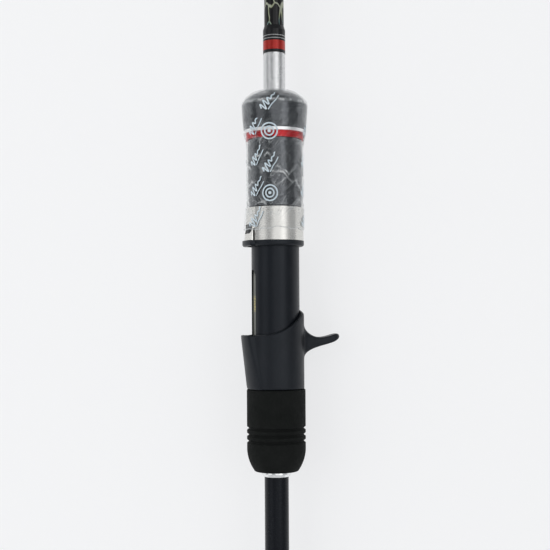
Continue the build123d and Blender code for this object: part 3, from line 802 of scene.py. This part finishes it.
# Only on the reel's side, on the barrel and not on the tunnel's wall, and near the hood's mouth.
for measure, limit in ((x, -11.5 * MM), (reach, shell_high.y + 0.75 * MM), (z, shell_low.z + 6.3 * MM)):
    slit_shade = tree.math("MULTIPLY", slit_shade, tree.math("LESS_THAN", measure, limit))
paint_over(brushed, slit_shade, (0.012, 0.012, 0.012), 0.6)


def make_sleeve():
    """Two sets of ridges that climb round the sleeve, one each way, make the diamonds."""
    sleeve_radius = 5.75 * MM
    ridge_pitch = 1.15 * MM
    material, tree, shader = new_material("rolled sleeve", Metallic=1.0)
    x, y, z = axes(tree)
    around = tree.math("MULTIPLY", tree.math("ARCTAN2", y, x), sleeve_radius)
    ridges = []
    for side in (1, -1):
        along = tree.math("ADD", z, tree.math("MULTIPLY", around, side))
        turns = tree.math("MULTIPLY", along, math.pi / ridge_pitch)
        ridges.append(tree.math("ABSOLUTE", tree.math("SINE", turns)))
    height = tree.math("SQRT", tree.math("MULTIPLY", ridges[0], ridges[1]))
    height = tree.math("MULTIPLY", height, smudges(tree, 900.0, 0.5, 1.1))
    # Painted shade: the colour darkens from the ridges' tops into the valleys between the diamonds.
    link(tree, tree.mix(height, (0.36, 0.37, 0.38), (1.0, 1.0, 1.0)), shader, "Base Color")
    link(tree, smudges(tree, 200.0, 0.2, 0.3), shader, "Roughness")
    add_bump(tree, shader, height, 0.06 * MM)
    return material


def make_saddle():
    """Dull plate with a column of gold ticks that starts a little above the fixed hood's mouth."""
    mouth = hood_high.z - 14.4 * MM
    tick_pitch = 0.42 * MM
    material, tree, shader = new_material("saddle plate", Metallic=0.4)
    where = place(tree, (900, 900, 200))
    grain = tree.add("ShaderNodeTexNoise", {"Vector": where, "Scale": 1.0, "Detail": 4.0})
    plate = tree.mix(grain.outputs[0], (0.09, 0.095, 0.085), (0.2, 0.205, 0.18))
    x, y, z = axes(tree)
    column = band(tree, z, mouth + 17.5 * MM, 4.6 * MM)
    wave = tree.math("SINE", tree.math("MULTIPLY", z, math.pi / tick_pitch))
    ticks = tree.math("GREATER_THAN", wave, 0.1)
    broken = tree.add("ShaderNodeTexVoronoi", {"Vector": place(tree), "Scale": 1100.0})
    ticks = tree.math("MULTIPLY", ticks, tree.math("GREATER_THAN", broken.outputs["Distance"], 0.32))
    ticks = tree.math("MULTIPLY", ticks, band(tree, y, 0.0, 2.6 * MM))
    marks = tree.math("MULTIPLY", column, ticks)
    link(tree, tree.mix(marks, plate, (0.72, 0.6, 0.16)), shader, "Base Color")
    link(tree, smudges(tree, 300.0, 0.34, 0.5), shader, "Roughness")
    add_bump(tree, shader, marks, 0.03 * MM)
    return material


dress(make_sleeve(), "front_sleeve")
dress(make_saddle(), "saddle_plate")
print("hood slits, sleeve texture and saddle marks in place")


# %% [markdown]
# ## Lacquered blank
# The blank is carbon, lacquered black, with a net of pale green and blue-grey veins under the
# gloss, like the pattern on a reef fish. A Voronoi texture gives the cells, the distance to a
# cell's edge gives the vein, and a slow noise lets the veins swell, fade and change hue.


# %% Blank
clear_coat = {"Coat_Weight": 0.35, "Coat_Roughness": 0.03, "Specular_IOR_Level": 0.15}


def make_blank_lacquer():
    material, tree, shader = new_material("blank lacquer", Roughness=0.4, **clear_coat)
    where = place(tree, (1.0, 1.0, 0.55))
    wander = tree.add("ShaderNodeTexNoise", {"Vector": where, "Scale": 170.0, "Detail": 1.0})
    offset = tree.vector("MULTIPLY", wander.outputs["Color"], (4 * MM, 4 * MM, 4 * MM))
    bent = tree.vector("ADD", where, offset)
    cells = tree.add("ShaderNodeTexVoronoi", {"Vector": bent, "Scale": 155.0}, feature="DISTANCE_TO_EDGE")
    slow = tree.add("ShaderNodeTexNoise", {"Vector": where, "Scale": 120.0, "Detail": 2.0})
    width = tree.math("MULTIPLY", slow.outputs[0], 0.1)
    vein = tree.math("SUBTRACT", 1.0, tree.math("DIVIDE", cells.outputs["Distance"], width))
    vein = tree.math("MULTIPLY", tree.math("MAXIMUM", vein, 0.0), 1.6)
    vein = tree.math("MINIMUM", vein, 1.0)
    blue_grey, green, pale = (0.12, 0.19, 0.19), (0.24, 0.26, 0.15), (0.33, 0.35, 0.27)
    hue = tree.ramp(slow.outputs["Fac"], (0.38, blue_grey), (0.5, green), (0.62, pale))
    link(tree, tree.mix(vein, (0.002, 0.002, 0.0026), hue), shader, "Base Color")
    return material


blank_lacquer = make_blank_lacquer()
dress(blank_lacquer, "blank")
print("blank:", blank_lacquer.name)


# %% [markdown]
# ## Thread windings
# Where the blank enters the handle, and at every guide foot, thread is wound on turn by turn and
# sealed with clear epoxy. The epoxy gives a glassy coat, and the turns show as fine ridges below; their
# colour is painted darker between the turns, as shade.


# %% Windings
def make_winding(name, dark, light, metallic=0.0, pitch=0.28 * MM):
    material, tree, shader = new_material(name, Metallic=metallic, Roughness=0.38, **clear_coat)
    ridge = use_group(tree, thread_group, Vector=place(tree), Pitch=pitch)
    where = place(tree, (500, 500, 6000))
    fibre = tree.add("ShaderNodeTexNoise", {"Vector": where, "Scale": 1.0, "Detail": 3.0})
    # Painted shade: the thread's colour darkens in the grooves between turns; the fibre noise is its own
    # random tone.
    groove_shade_and_fibre = tree.math("MULTIPLY", ridge, tree.math("ADD", fibre.outputs[0], 0.35))
    link(tree, tree.mix(groove_shade_and_fibre, dark, light), shader, "Base Color")
    add_bump(tree, shader, ridge, 0.04 * MM)
    return material


black_thread = make_winding("black thread", (0.0015, 0.0015, 0.002), (0.006, 0.0065, 0.008))
red_thread = make_winding("red metallic thread", (0.12, 0.004, 0.004), (0.62, 0.045, 0.035), 1.0)
silver_thread = make_winding("silver thread", (0.06, 0.06, 0.065), (0.6, 0.61, 0.61), 1.0, 0.2 * MM)
guides = range(1, 8)
dress(black_thread, "wrap_collar", "wrap_front", "tip_wrap", *[f"guide_{k}_wraps" for k in guides])
dress(red_thread, "wrap_red_band")
dress(silver_thread, "wrap_silver_lines")
print("windings dressed")


# %% [markdown]
# ## Guides
# Each guide is a stamped, dark-plated steel frame that holds a polished black ceramic ring. The
# same cell dresses the three arbors, rings of pale hard foam that centre the seat inside the handle.


# %% Guides and arbors
def make_ceramic():
    material, tree, shader = new_material("ceramic ring", Coat_Weight=0.6, Coat_Roughness=0.02)
    colour = tree.mix(smudges(tree, 400.0, 0.0, 1.0), (0.008, 0.008, 0.01), (0.02, 0.02, 0.024))
    link(tree, colour, shader, "Base Color")
    link(tree, smudges(tree, 600.0, 0.06, 0.16), shader, "Roughness")
    return material


ceramic = make_ceramic()
dress(gunmetal, "tip_frame", *[f"guide_{k}_frame" for k in guides])
dress(ceramic, "tip_ring", *[f"guide_{k}_ring" for k in guides])


def make_arbor_foam():
    material, tree, shader = new_material("arbor foam", Roughness=0.9)
    cells = grains(tree, 0.8 * MM)
    link(tree, tree.mix(cells, (0.2, 0.19, 0.16), (0.34, 0.32, 0.27)), shader, "Base Color")
    add_bump(tree, shader, cells, 0.1 * MM)
    return material


dress(make_arbor_foam(), "seat_arbor_rear", "seat_arbor_middle", "seat_arbor_front")
print("guides and arbors dressed")

# %% [markdown]
# ## Protective film
# A new rod comes with clear film shrunk over the foregrip and half of the metal hood. It is tight
# on the widest places and stands a little away from the narrow ones, with folds where it had too
# much width. The skin is turned like the grips, and its outside is then pushed in and out by
# noise: long soft waves everywhere, and sharp ridges in a few bands. Clear film is seen mostly
# where it is steep to the eye or folded, and there its alpha rises with a pale colour: a painted
# reflection at steep places, and a painted highlight on the folds, along the hood film's free edge and where
# the film turns over the flare.


# %% Film material and the grip's film
def make_film():
    material, tree, shader = new_material(
        "clear film", Roughness=0.2, Coat_Weight=1.0, Coat_Roughness=0.06, Specular_IOR_Level=0.6
    )
    where = place(tree, (1, 1, 0.6))
    wave = tree.add("ShaderNodeTexNoise", {"Vector": where, "Scale": 210.0, "Detail": 3.0})
    folds = tree.add("ShaderNodeAttribute", attribute_name="fold").outputs["Fac"]
    # Painted reflection: where the film is steep to the eye its alpha rises and its pale colour shows as a
    # veil, besides the shader's own gloss.
    steep_reflection = tree.add("ShaderNodeLayerWeight", {"Blend": 0.5}).outputs["Facing"]
    steep_reflection = tree.math("POWER", steep_reflection, 3.2)
    dust = smudges(tree, 120.0, 0.006, 0.022)
    alpha = tree.math("ADD", dust, tree.math("MULTIPLY", steep_reflection, 0.33))
    # Painted highlight: the folds get more alpha and a whiter colour.
    alpha = tree.math("ADD", alpha, tree.math("MULTIPLY", folds, 0.5))
    link(tree, tree.mix(folds, (0.62, 0.66, 0.67), (0.96, 0.97, 0.97)), shader, "Base Color")
    link(tree, tree.math("MINIMUM", alpha, 1.0), shader, "Alpha")
    add_bump(tree, shader, wave.outputs[0], 0.25 * MM)
    return material


def film_place(angle, height):
    """Where a point of the film lies in the noise that creases it."""
    return Vector((math.cos(angle) * 1.5, math.sin(angle) * 1.5, height * 95))


def ridged(point, scale):
    """Noise with sharp ridges, 0 to 1."""
    return 1 - min(1.0, abs(noise.noise(point * scale)) * 3.2)


def pulse(value, middle, half):
    """1 at the middle, falling to 0 at half to each side."""
    return max(0.0, 1 - ((value - middle) / half) ** 2)


def make_skin(name, rows, around, radius_at, thickness, material, body, replaced):
    """A closed thin skin: rows are heights, radius_at(angle, height) is its outside."""
    outline = [(0.0, height) for height in rows] + [(-thickness, height) for height in reversed(rows)]
    mesh = spin(name, outline, around, lambda angle, radius, height: radius_at(angle, height))
    piece = new_piece(name, mesh, material, body, replaced)
    return piece


film = make_film()
film_thickness = 0.08 * MM
red_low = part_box("trim_ring_red")[0].z
silver_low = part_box("trim_ring_silver")[0].z
fold_height = rear_low.z + 16 * MM
cone_top = grip_top + 0.9 * MM

# The film's outside along the rod, as (height, radius), before it is creased.
film_line = [
    (rear_low.z + 0.1 * MM, rear_high.x + 0.05 * MM),
    (rear_low.z + 9 * MM, rear_high.x + 0.2 * MM),
    (red_low - 5 * MM, rear_high.x + 0.25 * MM),
    (red_low, rear_high.x + 0.75 * MM),
    (silver_low, ring_radius + 0.12 * MM),
    (front_low.z + 1 * MM, ring_radius + 0.2 * MM),
    (grip_top - 8.0 * MM, flare_radius + 0.12 * MM),
    (grip_top - 6.2 * MM, flare_radius + 0.05 * MM),
    (grip_top - 3.4 * MM, 15.4 * MM),
    (grip_top - 0.7 * MM, 11.6 * MM),
    (grip_top + 0.4 * MM, 8.6 * MM),
    (cone_top, 6.45 * MM),
]


def film_radius(height):
    heights = [h for h, r in film_line]
    return float(np.interp(height, heights, [r for h, r in film_line]))


# Long folds as (from, to, bow): each end is (degrees round the rod, mm above the rear foam's end).
long_folds = [
    ((-120, 17.5), (-66, 11.5), 2.2),
    ((-112, 12.5), (-84, 14.0), -1.2),
    ((-104, 20.5), (-76, 15.0), 1.0),
    ((-64, 14.0), (-26, 6.0), -1.2),
    ((-158, 23.5), (-112, 25.5), 1.6),
    ((12, 22.0), (70, 15.0), 2.0),
    ((80, 9.0), (130, 14.5), -2.0),
    ((150, 25.0), (200, 18.0), 2.0),
    ((172, 7.0), (214, 12.5), 1.5),
]
fold_half = 0.85  # half a long fold's width, in millimetres
shoulder_height = grip_top - 7.0 * MM  # where the film turns over the flare's edge
hood_film_low = shell_low.z + 6.5 * MM  # the film's free edge, half way up the metal hood


def long_fold(angle, height):
    """1 on the crest of a long fold, 0 away from it."""
    up = (height - rear_low.z) / MM
    best = 0.0
    for (from_angle, from_up), (to_angle, to_up), bow in long_folds:
        along = ((math.degrees(angle) - from_angle) % 360) / (to_angle - from_angle)
        if along < 1:
            crest = from_up + (to_up - from_up) * along + bow * 4 * along * (1 - along)
            wander = noise.noise(Vector((angle * 5, from_up, 0)))
            fade = math.sin(math.pi * along) ** 0.5 * min(1.0, max(0.0, 0.75 + wander * 1.3))
            best = max(best, max(0.0, 1 - abs(up - crest - 2.2 * wander) / fold_half) * fade)
    return best


def looseness(angle, height):
    """How creased the film is: bands of folds, and loose places above the hood and below the ring."""
    point = Vector((math.cos(angle), math.sin(angle), 0)) * 2 + Vector((0, 0, height * 60))
    patch = min(1.0, max(0.0, noise.noise(point) * 1.6 + 0.5))
    amount = 0.16 + 0.7 * pulse(height, fold_height, 7 * MM) * patch
    amount += 0.75 * pulse(height, rear_low.z, 6 * MM)
    amount += 0.6 * pulse(height, red_low - 1.5 * MM, 3.5 * MM) * patch
    return amount + 0.5 * pulse(height, grip_top, 5 * MM)


def crests(angle, height):
    """Two sizes of sharp crests that lean round the rod, each 0 to 1."""
    lean = Vector((math.cos(angle) * 1.1, math.sin(angle) * 1.1, height * 150 + 1.5 * math.sin(2 * angle)))
    return ridged(lean, 1.7), ridged(film_place(angle, height), 3.3)


def creased(angle, height):
    """The film's outside, creased. Where it is tight on the sleeve there is little room to move."""
    radius = film_radius(height)
    wave = noise.noise(film_place(angle, height) * 2.1) * 0.16 * MM
    broad, small = crests(angle, height)
    crease = ((broad - 0.45) * 0.5 + (small - 0.5) * 0.22) * looseness(angle, height)
    free = min(1.0, 6.0 * (radius - 6 * MM) / (10 * MM))
    return radius + (wave + (crease + 0.45 * long_fold(angle, height)) * MM) * max(0.15, free)


around = 224
rows = [float(height) for height in np.linspace(rear_low.z + 0.1 * MM, cone_top, 131)]
grip_film = make_skin("grip_film_skin", rows, around, creased, film_thickness, film, "nut", ["grip_film"])


def mark_fold_highlights(piece):
    """Keeps where the sharp crests, the hood film's free edge and the bend over the flare are, for the
    film's material: these places are painted whiter, as a painted highlight.
    """
    mesh = piece.data
    layer = mesh.attributes.new("fold", "FLOAT", "POINT")
    for i, vertex in enumerate(mesh.vertices):
        angle, height = math.atan2(vertex.co.y, vertex.co.x), vertex.co.z
        broad, small = crests(angle, height)
        sharp = max(0.0, broad - 0.7) / 0.3 * 0.6 + max(0.0, small - 0.75) / 0.25 * 0.3
        sharp = sharp * min(1.0, looseness(angle, height)) + long_fold(angle, height)
        # Painted highlight: a bright line along the hood film's free edge.
        sharp += 0.55 * pulse(height, hood_film_low, 0.7 * MM) * (piece is not grip_film)
        # Painted highlight: a bright band where the film turns over the flare's edge.
        sharp += (0.25 + 0.5 * small) * pulse(height, shoulder_height, 0.9 * MM)
        layer.data[i].value = min(1.0, max(0.0, sharp))


mark_fold_highlights(grip_film)
print("grip film", len(grip_film.data.polygons), "faces")


# %% [markdown]
# The film's lower part rides on the moving hood, because the film was cut where the nut meets the
# hood. It follows the metal shell and its foot tunnel, which it finds by casting rays at the CAD
# film from outside, and its free edge is uneven.


# %% Hood film
film_node = nodes["hood_film"].data
corners = [vertex.co[:] for vertex in film_node.vertices]
hood_tree = BVHTree.FromPolygons(corners, [face.vertices[:] for face in film_node.polygons])
ray_length = 30 * MM  # from outside every piece to the axis
probe_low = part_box("hood_film")[0].z + 0.5 * MM
probe_high = shell_high.z - 2 * MM


def hood_radius(angle, height):
    """The film's outside over the hood: the CAD film, a tenth of a millimetre out and creased."""
    out = Vector((math.cos(angle), math.sin(angle), 0))
    seen = min(max(height, probe_low), probe_high)
    hit = hood_tree.ray_cast(out * ray_length + Vector((0, 0, seen)), -out)
    point = film_place(angle, height)
    crease = (ridged(point, 3.1) - 0.2) * 0.12 * MM + noise.noise(point * 1.4) * 0.05 * MM
    return math.hypot(hit[0].x, hit[0].y) + 0.1 * MM + crease


rows = [float(height) for height in np.linspace(hood_film_low, shell_high.z + 0.15 * MM, 31)]
hood_film = make_skin(
    "hood_film_skin", rows, around, hood_radius, film_thickness, film, "hood", ["hood_film"]
)
mark_fold_highlights(hood_film)
for vertex in hood_film.data.vertices:
    share = max(0.0, 1 - (vertex.co.z - hood_film_low) / (4 * MM))
    angle = math.atan2(vertex.co.y, vertex.co.x)
    wander = noise.noise(Vector((math.cos(angle), math.sin(angle), 0)) * 2.6)
    vertex.co.z += share * (1.6 * wander - 0.6) * MM
print("hood film", len(hood_film.data.polygons), "faces")


# %% [markdown]
# ## Printed marks
# Such film is printed with a repeated mark. Here it is a plain one: a ripple stroke in most
# places, and rings round a dot in the others. Both are flat ribbons a few tenths of a millimetre
# wide. Geometry Nodes lay them out on a flat sheet as instances, roll the sheet round the rod, and
# drop each point onto the film with a ray towards the axis, so the ink follows every crease. One
# tree serves both films: its Low and High inputs say which stretch of the sheet to keep.


# %% Marks as flat ribbons
def ribbons(name, strokes):
    """A flat mesh of ribbons; each stroke is (points in millimetres, width, closed)."""
    vertices, faces = [], []
    for points, width, closed in strokes:
        first = len(vertices)
        count = len(points)
        for i, point in enumerate(points):
            here = Vector(point)
            back = Vector(points[i - 1] if i or closed else points[i])
            front = Vector(points[(i + 1) % count] if i < count - 1 or closed else points[i])
            side = (front - back).normalized().orthogonal() * width / 2
            vertices += [(*(here + side) * MM, 0), (*(here - side) * MM, 0)]
        for i in range(count if closed else count - 1):
            a, b = first + 2 * i, first + 2 * ((i + 1) % count)
            faces.append((a, a + 1, b + 1, b))
    mesh = bpy.data.meshes.new(name)
    mesh.from_pydata(vertices, [], faces)
    build = bmesh.new()
    build.from_mesh(mesh)
    for face in build.faces:
        if face.normal.z < 0:
            face.normal_flip()
    build.to_mesh(mesh)
    build.free()
    return bpy.data.objects.new(name, mesh)


def circle(radius, count=40):
    steps = [2 * math.pi * k / count for k in range(count)]
    return [(radius * math.cos(a), radius * math.sin(a)) for a in steps]


def ripple(length, height, waves, lean, count=90):
    """A slanted wave that grows and fades along its length."""
    points = []
    for k in range(count + 1):
        t = k / count
        grown = 0.55 + 0.45 * math.sin(math.pi * (1.6 * t + 0.2))
        rise = height * math.sin(2 * math.pi * waves * t) * grown
        points.append((length * (t - 0.5) + lean * rise, rise))
    return points


underline = [(-4.2, -2.9), (-1.2, -2.6), (1.8, -2.8), (4.6, -2.5)]
ripple_strokes = [(ripple(11.5, 2.0, 4.5, 0.35), 0.66, False), (underline, 0.5, False)]
ripple_mark = ribbons("ripple_mark", ripple_strokes)
ring_strokes = [(circle(4.0), 0.75, True), (circle(2.2, 30), 0.75, True), (circle(0.45, 12), 0.8, True)]
ring_mark = ribbons("ring_mark", ring_strokes)
print("marks:", len(ripple_mark.data.polygons), "and", len(ring_mark.data.polygons), "faces")

# %% [markdown]
# ### The printing tree
# The tree works on the flat sheet first, where a mark is only placed and turned, and rolls it last.
# Its result is kept as a plain mesh on the film's body, so the marks travel with their film.


# %% The tree that prints the film
def make_print_tree():
    """Marks stand in three pairs of columns; in every other row the pair's second mark is the rings."""
    columns, row_total = 6, 4
    first_turn, pair_turn, second_turn = math.radians(-146), math.radians(120), math.radians(30)
    second_rise = 12.1 * MM
    sway = 0.12
    group = bpy.data.node_groups.new("Printed film", "GeometryNodeTree")
    sockets = {"Ripple": "Object", "Rings": "Object", "Film": "Object", "Ink": "Material"}
    for name in ("Roll Radius", "Base Height", "Row Pitch", "Slant", "Lift", "Low", "High"):
        sockets[name] = "Float"
    group.interface.new_socket(name="Geometry", in_out="OUTPUT", socket_type="NodeSocketGeometry")
    for name, kind in sockets.items():
        group.interface.new_socket(name=name, in_out="INPUT", socket_type="NodeSocket" + kind)
    tree = Tree(group)
    given = tree.add("NodeGroupInput").outputs
    out = tree.add("NodeGroupOutput")

    index = tree.add("GeometryNodeInputIndex").outputs[0]
    row = tree.math("FLOOR", tree.math("DIVIDE", index, columns))
    column = tree.math("MODULO", index, columns)
    pair = tree.math("FLOOR", tree.math("DIVIDE", column, 2))
    second = tree.math("MODULO", column, 2)
    turn = tree.math("ADD", tree.math("MULTIPLY", pair, pair_turn), first_turn)
    turn = tree.math("ADD", turn, tree.math("MULTIPLY", second, second_turn))
    sideways = tree.math("MULTIPLY", turn, given["Roll Radius"])
    rise = tree.math("MULTIPLY", row, given["Row Pitch"])
    rise = tree.math("ADD", rise, tree.math("MULTIPLY", second, second_rise))
    rise = tree.math("ADD", rise, given["Base Height"])
    flat = tree.add("ShaderNodeCombineXYZ", {"X": sideways, "Y": rise})
    points = tree.add("GeometryNodePoints", {"Count": columns * row_total, "Position": flat.outputs[0]})

    marks = tree.add("GeometryNodeJoinGeometry")
    for name in ("Rings", "Ripple"):
        source = tree.add("GeometryNodeObjectInfo", {"Object": given[name], "As Instance": True})
        tree.put(source.outputs["Geometry"], marks.inputs[0])
    even = tree.math("SUBTRACT", 1.0, tree.math("MODULO", row, 2))
    rings_here = tree.math("MULTIPLY", second, even)
    swing = {"Min": -sway, "Max": sway, "ID": index, "Seed": 7}
    spin_by = tree.add("FunctionNodeRandomValue", swing, data_type="FLOAT")
    slant = tree.math("ADD", given["Slant"], spin_by.outputs[1])
    turned = tree.add("ShaderNodeCombineXYZ", {"Z": slant})
    pick = {"Instance": marks.outputs[0], "Pick Instance": True, "Instance Index": rings_here}
    sheet = {"Points": points.outputs[0], "Rotation": turned.outputs[0]}
    placed = tree.add("GeometryNodeInstanceOnPoints", {**sheet, **pick})
    loose = tree.add("GeometryNodeRealizeInstances", {"Geometry": placed.outputs[0]})

    flat_place = tree.add("GeometryNodeInputPosition").outputs[0]
    spot = tree.add("ShaderNodeSeparateXYZ", {"Vector": flat_place}).outputs
    angle = tree.math("DIVIDE", spot["X"], given["Roll Radius"])
    out_x, out_y = tree.math("COSINE", angle), tree.math("SINE", angle)
    away = tree.add("ShaderNodeCombineXYZ", {"X": out_x, "Y": out_y}).outputs[0]
    start = tree.vector("SCALE", away, ray_length)
    level = tree.add("ShaderNodeCombineXYZ", {"Z": spot["Y"]}).outputs[0]
    start = tree.vector("ADD", start, level)
    inward = tree.vector("SCALE", away, -1.0)
    skin = tree.add("GeometryNodeObjectInfo", {"Object": given["Film"]})
    aim = {"Source Position": start, "Ray Direction": inward, "Ray Length": ray_length}
    ray = tree.add("GeometryNodeRaycast", {"Target Geometry": skin.outputs["Geometry"], **aim})
    hit = ray.outputs["Hit Position"]
    lifted = tree.vector("SCALE", away, given["Lift"])
    landed = tree.vector("ADD", hit, lifted)
    below = tree.math("LESS_THAN", spot["Y"], given["Low"])
    above = tree.math("GREATER_THAN", spot["Y"], given["High"])
    lost = tree.math("MAXIMUM", below, above)
    unwanted = {"Geometry": loose.outputs[0], "Selection": lost}
    kept = tree.add("GeometryNodeDeleteGeometry", unwanted, domain="POINT")
    rolled = tree.add("GeometryNodeSetPosition", {"Geometry": kept.outputs[0], "Position": landed})
    inked = tree.add("GeometryNodeSetMaterial", {"Geometry": rolled.outputs[0], "Material": given["Ink"]})
    tree.put(inked.outputs[0], out.inputs[0])
    return group


def make_ink():
    material, tree, shader = new_material("pale ink", Roughness=0.5)
    colour = tree.mix(smudges(tree, 500.0, 0.0, 1.0), (0.46, 0.56, 0.63), (0.66, 0.74, 0.79))
    link(tree, colour, shader, "Base Color")
    return material


print_tree = make_print_tree()
ink = make_ink()


def print_marks(name, skin, body, low, high):
    """Runs the tree for one film and keeps its result as a plain mesh on the film's body."""
    carrier = bpy.data.objects.new(name, bpy.data.meshes.new(name))
    bpy.context.scene.collection.objects.link(carrier)
    modifier = carrier.modifiers.new("print", "NODES")
    modifier.node_group = print_tree
    values = {
        "Ripple": ripple_mark, "Rings": ring_mark, "Film": skin, "Ink": ink,
        "Roll Radius": 15.6 * MM, "Base Height": rear_low.z - 5.75 * MM, "Row Pitch": 15.9 * MM,
        "Slant": math.radians(56), "Lift": 0.05 * MM, "Low": low, "High": high,
    }
    keys = {item.name: item.identifier for item in print_tree.interface.items_tree if item.in_out == "INPUT"}
    for key, value in values.items():
        modifier[keys[key]] = value
    carrier.update_tag()
    bpy.context.view_layer.update()
    mesh = bpy.data.meshes.new_from_object(carrier.evaluated_get(bpy.context.evaluated_depsgraph_get()))
    bpy.data.objects.remove(carrier)
    mesh.name = name
    piece = new_piece(name, mesh, ink, body)
    print(name, len(mesh.polygons), "faces")
    return piece


print_marks("grip_film_print", grip_film, "nut", rear_low.z + 0.3 * MM, grip_top - 3 * MM)
print_marks("hood_film_print", hood_film, "hood", hood_film_low - 1.5 * MM, shell_high.z)
